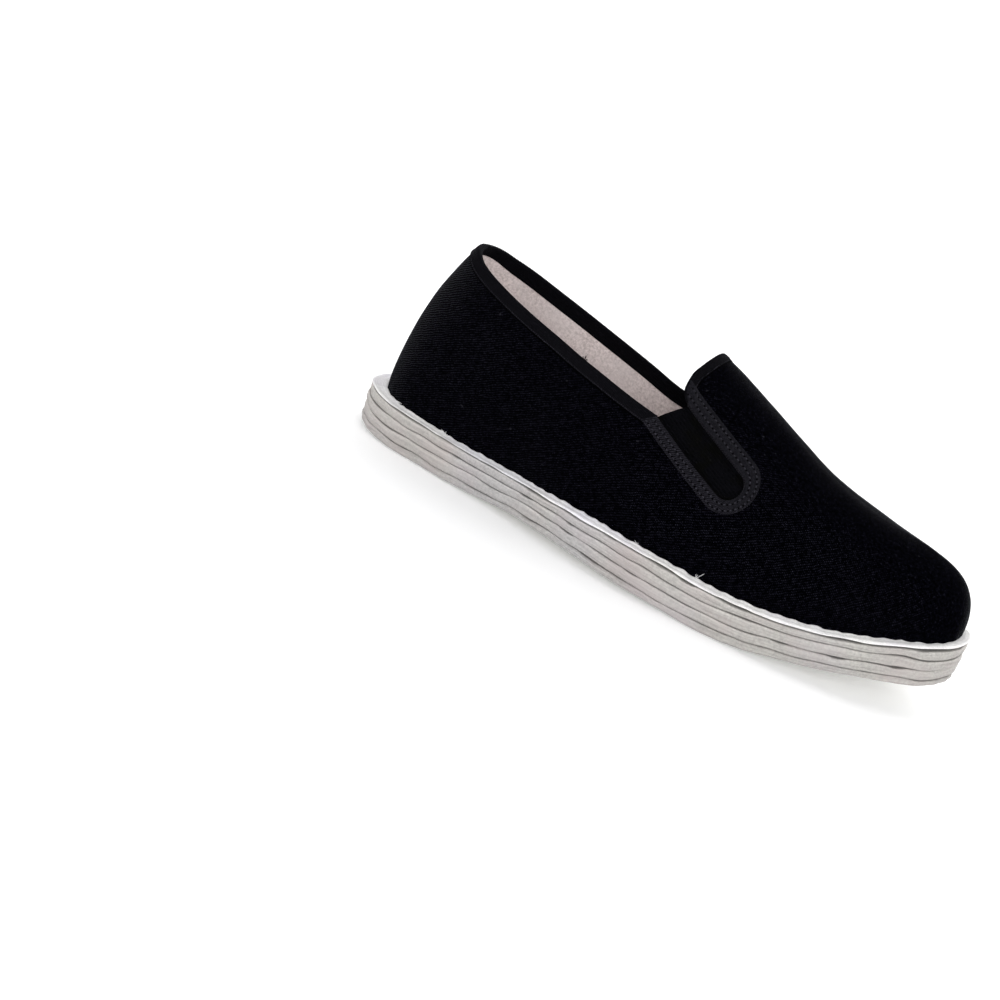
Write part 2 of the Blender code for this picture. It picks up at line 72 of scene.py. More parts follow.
# How much higher the collar's edge is than in the part, along the middle and for each metre across, and how
# much lower it is behind the ankle, where the outer side's edge is this far across
COLLAR_LIFT, COLLAR_TILT = 0.6 * MM, 0.03
NEAR_DROP, NEAR_PLACE = 1.2 * MM, 30 * MM
PLAN = [(0.00, 0.297, 0.0720), (0.12, 0.302, 0.0570), (0.28, 0.325, -0.0015), (0.42, 0.413, -0.0300),
        (0.56, 0.500, -0.0005), (0.68, 0.492, 0.0056), (0.80, 0.456, 0.0160), (1.00, 0.369, 0.0364)]
HEEL_CAP, HEEL_ROUNDNESS = 0.14, 2.3
TOE_CAP, TOE_ROUNDNESS = 0.28, 2.6
HEEL_FLAT, ARCH_START, ARCH_END, BALL_FLAT = 0.12, 0.20, 0.56, 0.68
LAST = [(0.000, 0.980, 1.80, 0.00, 0.00), (0.100, 1.000, 2.40, 0.36, 0.00), (0.180, 0.990, 2.90, 0.90, 0.00),
        (0.270, 0.961, 3.00, 1.00, 0.00), (0.335, 0.912, 2.80, 0.82, 0.00), (0.390, 0.846, 2.50, 0.48, 0.00),
        (0.445, 0.777, 2.15, 0.22, 0.25), (0.505, 0.732, 2.02, 0.12, 0.50), (0.571, 0.661, 2.10, 0.13, 0.75),
        (0.655, 0.559, 2.10, 0.15, 1.00), (0.733, 0.466, 2.10, 0.18, 1.00), (0.800, 0.405, 2.20, 0.18, 0.75),
        (0.855, 0.360, 2.30, 0.18, 0.50), (0.905, 0.321, 2.50, 0.18, 0.25), (1.000, 0.255, 2.80, 0.15, 0.00)]
FAN = [(0.0, 0.238), (0.2, 0.29), (0.4, 0.42), (0.5, 0.50), (0.6, 0.58), (0.8, 0.745), (1.0, 0.855)]
COLLAR = [(0.000, 1.022), (0.085, 1.012), (0.127, 0.956), (0.180, 0.900), (0.270, 0.819),
          (0.336, 0.764), (0.392, 0.720), (0.447, 0.672), (0.481, 0.650)]
TAB_EDGE = [(0.515, 0.777), (0.5015, 0.845), (0.5000, 0.912), (0.5040, 0.966), (0.5085, 1.027),
            (0.5130, 1.190)]
GORE_END = (0.621, 0.500)
GORE_SLOPE = math.radians(25.5)
GORE_ALONG = np.array([math.cos(GORE_SLOPE), -math.sin(GORE_SLOPE)])
GORE_SQUARE = np.array([math.sin(GORE_SLOPE), math.cos(GORE_SLOPE)])
PAST_THE_SHOE = 0.3
# Stack of the sole, from the floor up: node, share of the thickness, how far its edge stands proud in mm
LAYERS = [("sole_layer_1_tread", 0.150, -0.30), ("sole_layer_2", 0.222, 0.05), ("sole_layer_3", 0.227, 0.20),
          ("sole_layer_4", 0.227, 0.00), ("welt_strip", 0.174, 0.15)]
# How the worn stack departs from even layers: share of the length, then the lift in mm of the floor side,
# of the top of each of the four layers, and of the top of the welt
LIFTS = [(0.00, 0.2, 0.8, 1.0, 0.9, 0.6, -1.0), (0.10, 0.2, 0.8, 1.3, 1.2, 1.1, -1.0),
         (0.15, 0.2, 0.9, 1.2, 1.2, 1.0, -1.3), (0.20, 0.4, 0.8, 1.4, 1.1, 0.5, -1.7),
         (0.25, 1.0, 1.3, 1.7, 1.4, 0.8, -1.5), (0.30, 1.6, 1.1, 1.3, 0.8, 0.2, -1.7),
         (0.35, 2.4, 2.1, 2.3, 1.2, 0.3, -1.6), (0.43, 2.7, 2.8, 3.0, 2.4, 0.9, -0.3),
         (0.50, 2.4, 2.5, 2.8, 2.7, 2.2, 0.7), (0.56, 1.9, 1.9, 2.3, 2.2, 2.1, 0.5),
         (0.62, 0.9, 1.0, 1.1, 1.2, 1.3, -0.4), (0.67, 0.1, 0.7, 1.0, 1.1, 0.5, -1.0),
         (0.73, 0.5, 1.0, 1.0, 1.5, 0.1, -1.0), (0.78, 1.8, 2.2, 1.8, 1.9, 0.5, -0.8),
         (0.83, 2.3, 2.4, 2.1, 2.3, 0.8, -0.7), (0.88, 2.4, 2.4, 2.4, 2.3, 0.9, -0.2),
         (0.93, 1.7, 1.7, 2.1, 2.3, 1.2, 0.2), (0.97, 0.4, 0.1, 0.2, 0.5, 0.5, -0.1),
         (1.00, 0.1, 0.0, 0.0, 0.3, 0.3, 0.0)]


def smooth_table(rows, column, scale=1.0):
    """Returns a function that runs smoothly through one column of a table, with no overshoot."""
    xs = np.array([row[0] for row in rows], float)
    ys = np.array([row[column] for row in rows], float) * scale
    step = np.diff(xs)
    slope = np.diff(ys) / step
    tangent = np.concatenate([slope[:1], np.zeros(len(xs) - 2), slope[-1:]])
    for k in range(1, len(xs) - 1):
        if slope[k - 1] * slope[k] > 0:
            near, far = 2 * step[k] + step[k - 1], step[k] + 2 * step[k - 1]
            tangent[k] = (near + far) / (near / slope[k - 1] + far / slope[k])

    def value(x):
        x = np.clip(np.asarray(x, float), xs[0], xs[-1])
        k = np.clip(np.searchsorted(xs, x) - 1, 0, len(step) - 1)
        t = (x - xs[k]) / step[k]
        ends = (1 + 2 * t) * (1 - t) ** 2 * ys[k] + t * t * (3 - 2 * t) * ys[k + 1]
        return ends + step[k] * (t * (1 - t) ** 2 * tangent[k] + t * t * (t - 1) * tangent[k + 1])

    return value


half_width = smooth_table(PLAN, 1, BALL_WIDTH)
centre_line = smooth_table(PLAN, 2, BALL_WIDTH)
crown_height = smooth_table(LAST, 1, LAST_HEIGHT)
squareness = smooth_table(LAST, 2)
bulge = smooth_table(LAST, 3, SIDE_BULGE)
crown_shift = smooth_table(LAST, 4, CROWN_SHIFT)
crown_place = smooth_table(FAN, 1)
collar_height = smooth_table(COLLAR, 1, COLLAR_HEIGHT)
tab_place = smooth_table([(height, s) for s, height in TAB_EDGE], 1)
lifts = [smooth_table(LIFTS, column, MM) for column in range(1, 7)]
LEVELS = np.cumsum([0.0] + [part for _, part, _ in LAYERS]) * SOLE_THICKNESS


def smoothstep(low, high, x):
    t = np.clip((x - low) / (high - low), 0, 1)
    return t * t * (3 - 2 * t)


def join(*parts):
    """Puts coordinates side by side, on a new last axis."""
    return np.stack(parts, -1)


def size_of(vectors, keep=False):
    """Length of each vector on the last axis."""
    return np.linalg.norm(vectors, axis=-1, keepdims=keep)


def feather_inset(s):
    heel = np.clip((2 * HEEL_CAP - s) / (2 * HEEL_CAP), 0, 1) ** 2
    return FEATHER_INSET + (HEEL_INSET - FEATHER_INSET) * heel


def share(x):
    return np.asarray(x) / SOLE_LENGTH + 0.5


def place(s):
    return (np.asarray(s) - 0.5) * SOLE_LENGTH


def rise(x):
    """Height of the sole's bottom over the floor."""
    s = share(x)
    toe = TOE_SPRING * np.clip((s - BALL_FLAT) / (1 - BALL_FLAT), 0, 1) ** 2
    heel = HEEL_LIFT * np.clip((HEEL_FLAT - s) / HEEL_FLAT, 0, 1) ** 2
    arch = np.clip((s - ARCH_START) / (ARCH_END - ARCH_START), 0, 1)
    return toe + heel + ARCH_LIFT * np.sin(math.pi * arch) ** 2


def stack_height(level, x):
    """Height over the floor, at a place x, of a level of the stack."""
    k = min(int(np.searchsorted(LEVELS, level, "right")) - 1, len(LEVELS) - 2)
    way = (level - LEVELS[k]) / (LEVELS[k + 1] - LEVELS[k])
    s = share(x)
    return rise(x) + level + lifts[k](s) * (1 - way) + lifts[k + 1](s) * way


def edge_point(side, tau):
    """Point of the sole's outline; side is -1 outer or 1 inner, tau runs from heel (0) to toe (1) and on."""
    tau = np.asarray(tau, float)
    side = np.where((tau < 0) | (tau > 1), -side, side)
    tau = np.where(tau < 0, -tau, np.where(tau > 1, 2 - tau, tau))
    s = 0.5 - 0.5 * np.cos(math.pi * tau)
    heel = np.clip(1 - s / HEEL_CAP, 0, 1) ** HEEL_ROUNDNESS
    toe = np.clip((s - (1 - TOE_CAP)) / TOE_CAP, 0, 1) ** TOE_ROUNDNESS
    cap = (1 - heel) ** (1 / HEEL_ROUNDNESS) * (1 - toe) ** (1 / TOE_ROUNDNESS)
    return join(place(s), centre_line(s) + side * half_width(s) * cap)


def outline(side, tau, inset):
    along = edge_point(side, tau + NUDGE) - edge_point(side, tau - NUDGE)
    along /= size_of(along, True)
    inward = -side * join(-along[..., 1], along[..., 0])
    return edge_point(side, tau) + inward * np.asarray(inset)[..., None]


def even_places(steps):
    """Values of tau that cut half of the outline into equal lengths."""
    fine = np.linspace(0, 1, 4001)
    arc = lengths(edge_point(1, fine), 0)
    return np.interp(np.linspace(0, arc[-1], steps + 1), arc, fine)


def feather(side, tau):
    return outline(side, tau, feather_inset(share(edge_point(side, tau)[..., 0])))


def last_skin(side, tau, phi):
    """Point of the upper's outer face; phi runs from the sole (0) over the crown (pi/2) to the other side."""
    tau, phi = np.broadcast_arrays(np.asarray(tau, float), np.asarray(phi, float))
    over = phi > math.pi / 2
    side = np.where(over ^ (tau < 0) ^ (tau > 1), -side, side)
    tau = np.where(tau < 0, -tau, np.where(tau > 1, 2 - tau, tau))
    phi = np.clip(np.where(over, math.pi - phi, phi), 0, math.pi / 2)
    foot = np.where((side > 0)[..., None], feather(1, tau), feather(-1, tau))
    top = crown_place(tau)
    crown = join(place(top), centre_line(top) + crown_shift(top))
    power = 2 / squareness(share(foot[..., 0]))
    inwards = 1 - np.clip(np.cos(phi), 0, 1) ** power
    upwards = np.sin(phi) ** power
    plan = foot + (crown - foot) * inwards[..., None]
    away = foot - crown
    away /= size_of(away, True)
    belly = 4 * upwards * (1 - upwards) * bulge(share(plan[..., 0]))
    flare = TOE_FLARE * smoothstep(0.86, 0.99, share(foot[..., 0])) * (1 - upwards) ** 2
    plan = plan + away * (belly + flare)[..., None]
    base = rise(foot[..., 0]) + lifts[-1](share(foot[..., 0])) - BURIED
    roof = crown_height(share(plan[..., 0])) + rise(plan[..., 0])
    height = SOLE_THICKNESS + SEAT_GAP + base + (roof - base) * upwards
    return np.concatenate([plan, height[..., None]], -1)


def normal_at(side, tau, phi):
    tau, phi = np.broadcast_arrays(np.asarray(tau, float), np.asarray(phi, float))
    at_end = (phi > math.pi / 2 - NUDGE) & ((tau < NUDGE) | (tau > 1 - NUDGE))
    phi = np.where(at_end, phi - 0.03, phi)
    ahead = last_skin(side, tau + NUDGE, phi) - last_skin(side, tau - NUDGE, phi)
    up = last_skin(side, tau, phi + NUDGE) - last_skin(side, tau, np.maximum(phi - NUDGE, 0))
    out = -side * np.cross(ahead, up)
    return out / size_of(out, True)


def halve(wrong_side, low, high):
    for _ in range(40):
        middle = (low + high) / 2
        wrong = wrong_side(middle)
        low, high = np.where(wrong, middle, low), np.where(wrong, high, middle)
    return (low + high) / 2


def collar_z(x, y):
    """Height of the collar's edge: more on the inner side, and less behind the ankle on the outer one."""
    part = np.clip((share(x) - 0.04) / 0.44, 0, 1)
    early = np.clip((share(x) - 0.02) / 0.30, 0, 1)
    lifted = (COLLAR_LIFT + COLLAR_TILT * y) * np.sin(math.pi * part) ** 2
    dropped = NEAR_DROP * (0.5 - 0.5 * y / NEAR_PLACE) * np.sin(math.pi * early) ** 2
    return SOLE_THICKNESS + collar_height(share(x)) + lifted - dropped


def tab_x(z):
    return place(tab_place((z - SOLE_THICKNESS) / COLLAR_HEIGHT))


def collar_phi(side, tau):
    def below(phi):
        at = last_skin(side, tau, phi)
        return at[..., 2] < collar_z(at[..., 0], at[..., 1])

    return halve(below, np.zeros_like(tau), np.full_like(tau, math.pi / 2))


def collar_end(side):
    def behind(tau):
        return last_skin(side, tau, collar_phi(side, tau))[..., 0] < place(COLLAR[-1][0])

    return float(halve(behind, np.array([0.1]), np.array([0.7]))[0])


def skin_at(side, x, z):
    """Finds tau and phi of the outer face's point that shows at x, z from the side."""
    tau, phi = np.full_like(x, 0.5), np.full_like(x, 0.7)
    for _ in range(30):
        here = last_skin(side, tau, phi)
        by_tau = (last_skin(side, tau + NUDGE, phi) - here) / NUDGE
        by_phi = (last_skin(side, tau, phi + NUDGE) - here) / NUDGE
        miss_x, miss_z = x - here[..., 0], z - here[..., 2]
        size = by_tau[..., 0] * by_phi[..., 2] - by_tau[..., 2] * by_phi[..., 0]
        tau = tau + np.clip((miss_x * by_phi[..., 2] - miss_z * by_phi[..., 0]) / size, -0.1, 0.1)
        phi = phi + np.clip((miss_z * by_tau[..., 0] - miss_x * by_tau[..., 2]) / size, -0.2, 0.2)
        phi = np.clip(phi, 0.02, math.pi / 2 - 0.02)
    return tau, phi


def skin_and_normal(side, tau, phi):
    return last_skin(side, tau, phi), normal_at(side, tau, phi)


def on_skin(side, seen):
    """Points and normals of the outer face that show at x, z from the side."""
    return skin_and_normal(side, *skin_at(side, seen[..., 0], seen[..., 1]))


def gore_end():
    return place(GORE_END[0]), SOLE_THICKNESS + GORE_END[1] * COLLAR_HEIGHT


def tab_corner():
    return place(TAB_EDGE[0][0]), SOLE_THICKNESS + TAB_EDGE[0][1] * COLLAR_HEIGHT


class Waves:
    """A smooth random function of a place, of about the given wavelength, mostly from -1 to 1."""

    def __init__(self, wavelength, dimensions=3, terms=14):
        direction = random.normal(size=(terms, dimensions))
        direction /= size_of(direction, True)
        size = 2 * math.pi / (wavelength * random.uniform(0.7, 1.5, terms))
        self.direction = direction * size[:, None]
        self.phase = random.uniform(0, 2 * math.pi, terms)

    def __call__(self, points):
        points = np.asarray(points, float)
        if points.shape[-1:] != self.direction.shape[1:]:
            points = points[..., None]
        angle = points @ self.direction.T + self.phase
        return np.sin(angle).sum(-1) / math.sqrt(len(self.phase) / 2) / 1.6


def lengths(points, axis):
    """Length along rows or columns of a grid of points, from the first."""
    step = size_of(np.diff(points, axis=axis))
    start = np.zeros_like(np.take(step, [0], axis=axis))
    return np.concatenate([start, np.cumsum(step, axis=axis)], axis=axis)


def halves_of(ring):
    """The outer and the inner half of a ring that runs up the outer side and back down the inner one."""
    half = len(ring) // 2
    return ring[:half + 1], np.concatenate([ring[:1], ring[:half - 1:-1]])


class Piece:
    """Gathers points, faces, texture places and material numbers, then makes one object of them."""

    def __init__(self):
        self.points, self.places, self.faces, self.looks, self.count = [], [], [], [], 0

    def grid(self, points, places=None, look=0, around=False, across=False):
        rows, columns = points.shape[:2]
        i = np.arange(rows if around else rows - 1)[:, None]
        j = np.arange(columns if across else columns - 1)[None]
        k, m = (i + 1) % rows, (j + 1) % columns
        corners = [i * columns + j, k * columns + j, k * columns + m, i * columns + m]
        quads = np.stack(np.broadcast_arrays(*corners), -1).reshape(-1, 4) + self.count
        ids = np.arange(rows * columns).reshape(rows, columns) + self.count
        if places is None:
            places = points[..., :2]
        self.points.append(points.reshape(-1, 3))
        self.places.append(places.reshape(-1, 2))
        self.count += rows * columns
        self.quads(quads, look)
        return ids

    def quads(self, quads, look=0):
        self.faces.extend(quads.tolist())
        self.looks.extend([look] * len(quads))

    def bridge(self, first, second, look=0):
        self.quads(join(first[:-1], first[1:], second[1:], second[:-1]), look)

    def close(self, rings, look=0):
        """Closes the ends of a tube, each by one face."""
        for ring in rings:
            self.faces.append([int(v) for v in ring])
            self.looks.append(look)

    def cap(self, ring, look=0):
        """Closes a ring round the whole sole by faces from side to side."""
        outer, inner = halves_of(ring)
        for k in range(len(outer) - 1):
            corners = (outer[k], outer[k + 1], inner[k + 1], inner[k])
            self.faces.append(list(dict.fromkeys(int(v) for v in corners)))
            self.looks.append(look)

    def build(self, name, looks, merge=True, sharp=50):
        mesh = bpy.data.meshes.new(name)
        mesh.from_pydata(np.concatenate(self.points).tolist(), [], self.faces)
        mesh.polygons.foreach_set("material_index", np.array(self.looks, np.int32))
        vertex = np.empty(len(mesh.loops), np.int32)
        mesh.loops.foreach_get("vertex_index", vertex)
        layer = mesh.uv_layers.new(name="places")
        layer.data.foreach_set("uv", np.concatenate(self.places)[vertex].astype(np.float32).ravel())
        work = bmesh.new()
        work.from_mesh(mesh)
        if merge:
            bmesh.ops.remove_doubles(work, verts=work.verts, dist=2e-6)
        bmesh.ops.recalc_face_normals(work, faces=work.faces)
        work.to_mesh(mesh)
        work.free()
        obj = bpy.data.objects.new(name, mesh)
        bpy.context.scene.collection.objects.link(obj)
        for look in looks:
            mesh.materials.append(look)
        mesh.shade_smooth()
        mesh.set_sharp_from_angle(angle=math.radians(sharp))
        return obj


def dress(obj, slot, *nodes):
    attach(obj, "root")
    if nodes:
        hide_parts(*nodes)
    return obj


# Materials
class Look:
    """A procedural cloth material. Texture places are in metres."""

    def __init__(self, name, roughness=0.9, sheen=0.0, tint=(1, 1, 1), sheen_roughness=0.5, specular=0.3):
        self.made = bpy.data.materials.new(name)
        self.made.use_nodes = True
        self.tree = self.made.node_tree
        self.shader = self.tree.nodes["Principled BSDF"]
        self.shader.inputs["Roughness"].default_value = roughness
        self.shader.inputs["Sheen Weight"].default_value = sheen
        self.shader.inputs["Sheen Roughness"].default_value = sheen_roughness
        self.shader.inputs["Sheen Tint"].default_value = (*tint, 1)
        self.shader.inputs["Specular IOR Level"].default_value = specular
        self.coordinates = self.tree.nodes.new("ShaderNodeTexCoord")

    def node(self, kind, **inputs):
        made = self.tree.nodes.new(kind)
        for name, value in inputs.items():
            socket = made.inputs[name.replace("_", " ")]
            if isinstance(value, bpy.types.NodeSocket):
                self.tree.links.new(value, socket)
            else:
                socket.default_value = value
        return made

    def mapped(self, source="Object", scale=(1, 1, 1), turn=0.0):
        made = self.node("ShaderNodeMapping", Vector=self.coordinates.outputs[source], Scale=scale,
                         Rotation=(0, 0, turn))
        return made.outputs["Vector"]

    def noise(self, scale, detail=2.0, roughness=0.5, vector=None):
        vector = vector or self.mapped()
        made = self.node("ShaderNodeTexNoise", Vector=vector, Scale=scale, Detail=detail, Roughness=roughness)
        return made.outputs["Fac"]

    def wave(self, vector, pitch, distortion=1.0, detail_scale=1.0, direction="X"):
        made = self.node("ShaderNodeTexWave", Vector=vector, Scale=math.pi / 10 / pitch, Detail=1.0,
                         Distortion=distortion, Detail_Scale=detail_scale)
        made.bands_direction = direction
        return made.outputs["Fac"]

    def math(self, operation, first, second):
        made = self.tree.nodes.new("ShaderNodeMath")
        made.operation = operation
        for socket, value in zip(made.inputs, (first, second)):
            if isinstance(value, bpy.types.NodeSocket):
                self.tree.links.new(value, socket)
            else:
                socket.default_value = value
        return made.outputs["Value"]

    def ramp(self, factor, stops):
        made = self.node("ShaderNodeValToRGB", Fac=factor)
        elements = made.color_ramp.elements
        while len(elements) < len(stops):
            elements.new(0.5)
        for element, (position, colour) in zip(elements, stops):
            element.position = position
            element.color = (*colour, 1)
        return made.outputs["Color"]

    def mix(self, factor, first, second, blend="MIX"):
        made = self.tree.nodes.new("ShaderNodeMix")
        made.data_type = "RGBA"
        made.blend_type = blend
        for socket, value in ((made.inputs[0], factor), (made.inputs[6], first), (made.inputs[7], second)):
            if isinstance(value, bpy.types.NodeSocket):
                self.tree.links.new(value, socket)
            else:
                socket.default_value = value if isinstance(value, float) else (*value, 1)
        return made.outputs[2]

    def finish(self, colour, height, depth, strength=1.0):
        bump = self.node("ShaderNodeBump", Height=height, Distance=depth, Strength=strength)
        self.tree.links.new(bump.outputs["Normal"], self.shader.inputs["Normal"])
        self.tree.links.new(colour, self.shader.inputs["Base Color"])
        return self.made


def twill():
    look = Look("black_twill", 0.95, 0.075, (0.90, 0.93, 1.0), 0.2, 0.003)
    cloth = look.mapped("UV", turn=-math.radians(27))
    ribs = look.wave(cloth, 1.0 * MM, 3.5, 0.8, "Y")
    threads = look.wave(look.mapped("UV"), 0.62 * MM, 2.5, 1.0, "X")
    fuzz = look.noise(1300.0, 3.0, 0.75)
    specks = look.noise(900.0, 1.0, 0.5)
    # The ribs fade out on top of the vamp, where the texture places of the two sides meet
    object_place = look.node("ShaderNodeSeparateXYZ", Vector=look.mapped("Object")).outputs
    from_middle = look.math("ABSOLUTE", object_place["Y"], 0.0)
    beside = look.ramp(from_middle, [(0.012, (0, 0, 0)), (0.032, (1, 1, 1))])
    shown = look.math("MAXIMUM", beside, look.math("LESS_THAN", object_place["X"], 0.0))
    raised = look.math("SUBTRACT", look.math("MULTIPLY", ribs, threads), 0.25)
    raised = look.math("ADD", look.math("MULTIPLY", raised, shown), 0.25)
    height = look.math("ADD", raised, fuzz)
    tone = look.ramp(look.math("MULTIPLY", height, specks),
                     [(0.25, (0.0001, 0.0001, 0.0003)), (0.50, (0.0014, 0.0014, 0.0028)),
                      (0.80, (0.0112, 0.0109, 0.0160))])
    lint = look.noise(480.0, 0.0)
    white = look.ramp(lint, [(0.845, (0, 0, 0)), (0.88, (0.4, 0.4, 0.4))])
    return look.finish(look.mix(white, tone, (0.03, 0.03, 0.036)), height, 0.2 * MM)


def ribbed(look, pitch, bend, part, grain, stops, depth):
    """Tape with ribs across it; pitch and depth are in mm, and part is the ribs' share of the relief."""
    ribs = look.wave(look.mapped("UV"), pitch * MM, bend, 1.0, "X")
    height = look.math("ADD", look.math("MULTIPLY", ribs, part), look.noise(grain, 3.0, 0.7))
    return look.finish(look.ramp(height, stops), height, depth * MM)


def elastic():
    look = Look("black_elastic", 0.9, 0.01, (1, 1, 1), 0.3, 0.01)
    ribs = look.wave(look.mapped("UV"), 1.15 * MM, 0.25, 1.0, "X")
    cross = look.wave(look.mapped("UV"), 0.5 * MM, 0.6, 1.0, "Y")
    height = look.math("ADD", ribs, look.math("MULTIPLY", cross, 0.35))
    fuzz = look.noise(1200.0, 2.0, 0.7)
    tone = look.ramp(look.math("MULTIPLY", fuzz, look.math("ADD", height, 1.4)),
                     [(0.5, (0.0001, 0.0001, 0.0002)), (1.1, (0.0022, 0.0022, 0.0030))])
    patches = look.noise(130.0, 3.0, 0.6)
    olive = look.ramp(patches, [(0.48, (0, 0, 0)), (0.62, (0.6, 0.6, 0.6))])
    return look.finish(look.mix(olive, tone, (0.0016, 0.0016, 0.0009)), height, 0.10 * MM)


def weave(name, dark, light, tint, pitch=0.62, depth=0.10, grime=0.5, span=None, painted_light_greys=()):
    """Plain-woven cotton: crossing threads, a fine speckle and soft patches of another tint.

    On a strip, whose texture places hold the length and the height on it, fine streaks run along it, and
    the greys paint shade and highlight on it from the lower edge to the height span: painted shade at the
    edges, where the gaps between strips lie, and a painted highlight towards the top; pitch, depth and span
    are in mm.
    """
    look = Look(name, 0.92, 0.05, (1, 1, 1), 0.5, 0.15)
    across = look.wave(look.mapped("Object", turn=0.2), pitch * MM, 1.6, 1.0, "X")
    up = look.wave(look.mapped("Object"), pitch * MM, 1.6, 1.0, "Z")
    fuzz = look.noise(900.0, 4.0, 0.75)
    height = look.math("ADD", look.math("MULTIPLY", look.math("MAXIMUM", across, up), 0.45), fuzz)
    tone = look.ramp(fuzz, [(0.30, dark), (0.62, light)])
    patches = look.noise(55.0, 3.0, 0.6)
    colour = look.mix(look.ramp(patches, [(0.42, (0, 0, 0)), (0.68, (grime, grime, grime))]), tone, tint)
    if span:
        on_strip = look.node("ShaderNodeSeparateXYZ", Vector=look.mapped("UV")).outputs["Y"]
        streaks = look.noise(1.0, 3.0, 0.7, look.mapped("UV", scale=(45, 1500, 1)))
        # The last ramp paints shade and light by height on the strip: painted shade at its edges, painted
        # highlight towards its top
        for factor, stops in (
                (streaks, [(0.33, (0.84, 0.83, 0.83)), (0.66, (1.1, 1.1, 1.09))]),
                (look.noise(22.0, 1.0), [(0.4, (1.0, 1.0, 1.0)), (0.62, (1.0, 0.995, 0.95))]),
                (look.math("DIVIDE", on_strip, span * MM), [(at, (grey, grey, grey)) for at, grey in painted_light_greys])):
            colour = look.mix(1.0, colour, look.ramp(factor, stops), "MULTIPLY")
    return look.finish(colour, height, depth * MM)


def plain(name, colour, darker, roughness=0.7, specular=0.1):
    """Twisted thread."""
    look = Look(name, roughness, 0.0, (1, 1, 1), 0.5, specular)
    grain = look.noise(2200.0, 2.0, 0.7)
    return look.finish(look.ramp(grain, [(0.3, darker), (0.65, colour)]), grain, 0.1 * MM)


LOOKS = {
    "twill": twill(),
    "tape": ribbed(Look("black_tape", 0.92, 0.03, (0.9, 0.9, 1.0), 0.2, 0.008), 0.6, 1.2, 0.5, 1400.0,
                   [(0.4, (0.0003, 0.0003, 0.0005)), (1.0, (0.0054, 0.0052, 0.0068))], 0.14),
    # Facing cloth, also used for raised cords that paint the lit rim of the tapes' lower edges
    "band": ribbed(Look("black_facing", 0.9, 0.03, (0.9, 0.92, 1.0), 0.2, 0.015), 0.9, 3.0, 0.6, 1100.0,
                   [(0.45, (0.0006, 0.0006, 0.0010)), (1.0, (0.0150, 0.0145, 0.0185))], 0.2),
    "elastic": elastic(),
    "lining": weave("beige_lining", (0.43, 0.37, 0.358), (0.80, 0.72, 0.705), (0.62, 0.567, 0.56), 0.7, 0.12),
    # Sole strips: the greys paint shade at the lower and upper edges, in the gaps between layers, and a
    # painted highlight on each strip's upper part
    "sole": weave("stitched_cloth", (0.302, 0.296, 0.295), (0.462, 0.450, 0.447), (0.42, 0.382, 0.392),
                  0.6, 0.12, 0.8, 4.2, [(0.0, 0.60), (0.06, 0.88), (0.25, 0.90), (0.70, 0.96), (0.90, 1.15),
                                        (0.965, 0.95), (1.0, 0.6)]),
    # Welt: the greys paint shade at its lower edge, over the gap below, and a slightly brighter top as
    # painted highlight
    "welt": weave("white_strip", (0.67, 0.67, 0.70), (0.86, 0.86, 0.885), (0.72, 0.70, 0.79),
                  0.55, 0.14, 0.6, 9.0, [(0.0, 0.55), (0.03, 0.92), (0.2, 1.0), (0.3, 1.0), (0.55, 0.95),
                                         (0.7, 1.03), (1.0, 1.03)]),
    "bottom": weave("bottom_cloth", (0.50, 0.51, 0.49), (0.72, 0.725, 0.70), (0.62, 0.62, 0.59),
                    0.8, 0.16, 0.6),
    "thread": plain("cream_thread", (0.78, 0.70, 0.56), (0.55, 0.47, 0.35)),
    "white_thread": plain("white_thread", (0.85, 0.85, 0.86), (0.6, 0.6, 0.6)),
    # Very dark thread: real loose ends at the collar, and also dark lines and dots that paint shade in
    # creases and stitch holes
    "black_thread_and_painted_shade": plain("black_thread_and_painted_shade", (0.0004, 0.0004, 0.0006), (0.0001, 0.0001, 0.0002), 0.95, 0.01),
    "grey_thread": plain("grey_thread", (0.030, 0.029, 0.036), (0.011, 0.011, 0.014), 0.9, 0.02),
    # Dark brown, painted shade of the stitch holes on the underside
    "hole": plain("stitch_hole_shade", (0.16, 0.14, 0.12), (0.07, 0.06, 0.05), 0.95),
}


# Sole
STITCH_PITCH = 7.8 * MM
RING = 260
RING_TAU = even_places(RING)


def ring_of(inset):
    """The outline as one closed ring, moved inwards by one value, or one for each point of the ring."""
    inset = np.broadcast_to(np.asarray(inset, float), (2 * RING,))
    outer = outline(-1, RING_TAU, inset[:RING + 1])
    inner = outline(1, RING_TAU[-2:0:-1], inset[RING + 1:])
    return np.concatenate([outer, inner])


RING_XY = ring_of(0.0)
RING_ARC = lengths(RING_XY, 0)
RING_SHARE = share(RING_XY[:, 0])
TOE_PROUD = 0.9 * MM * smoothstep(0.88, 0.985, RING_SHARE)
CIRCLE = RING_ARC[-1] + np.linalg.norm(RING_XY[-1] - RING_XY[0])
TURN = 2 * math.pi * RING_ARC / CIRCLE


def around(wavelength, terms=9):
    """A random function round the ring, of about the given wavelength, that meets itself."""
    middle = CIRCLE / wavelength
    total = np.zeros(len(TURN))
    for _ in range(terms):
        times = max(1, round(middle * random.uniform(0.6, 1.6)))
        total += np.sin(times * TURN + random.uniform(0, 2 * math.pi))
    return total / math.sqrt(terms / 2) / 1.6


def ripple(*terms):
    """Sum of random functions round the ring, each given by its wavelength and its size in mm."""
    return sum(around(wavelength * MM) * size * MM for wavelength, size in terms)


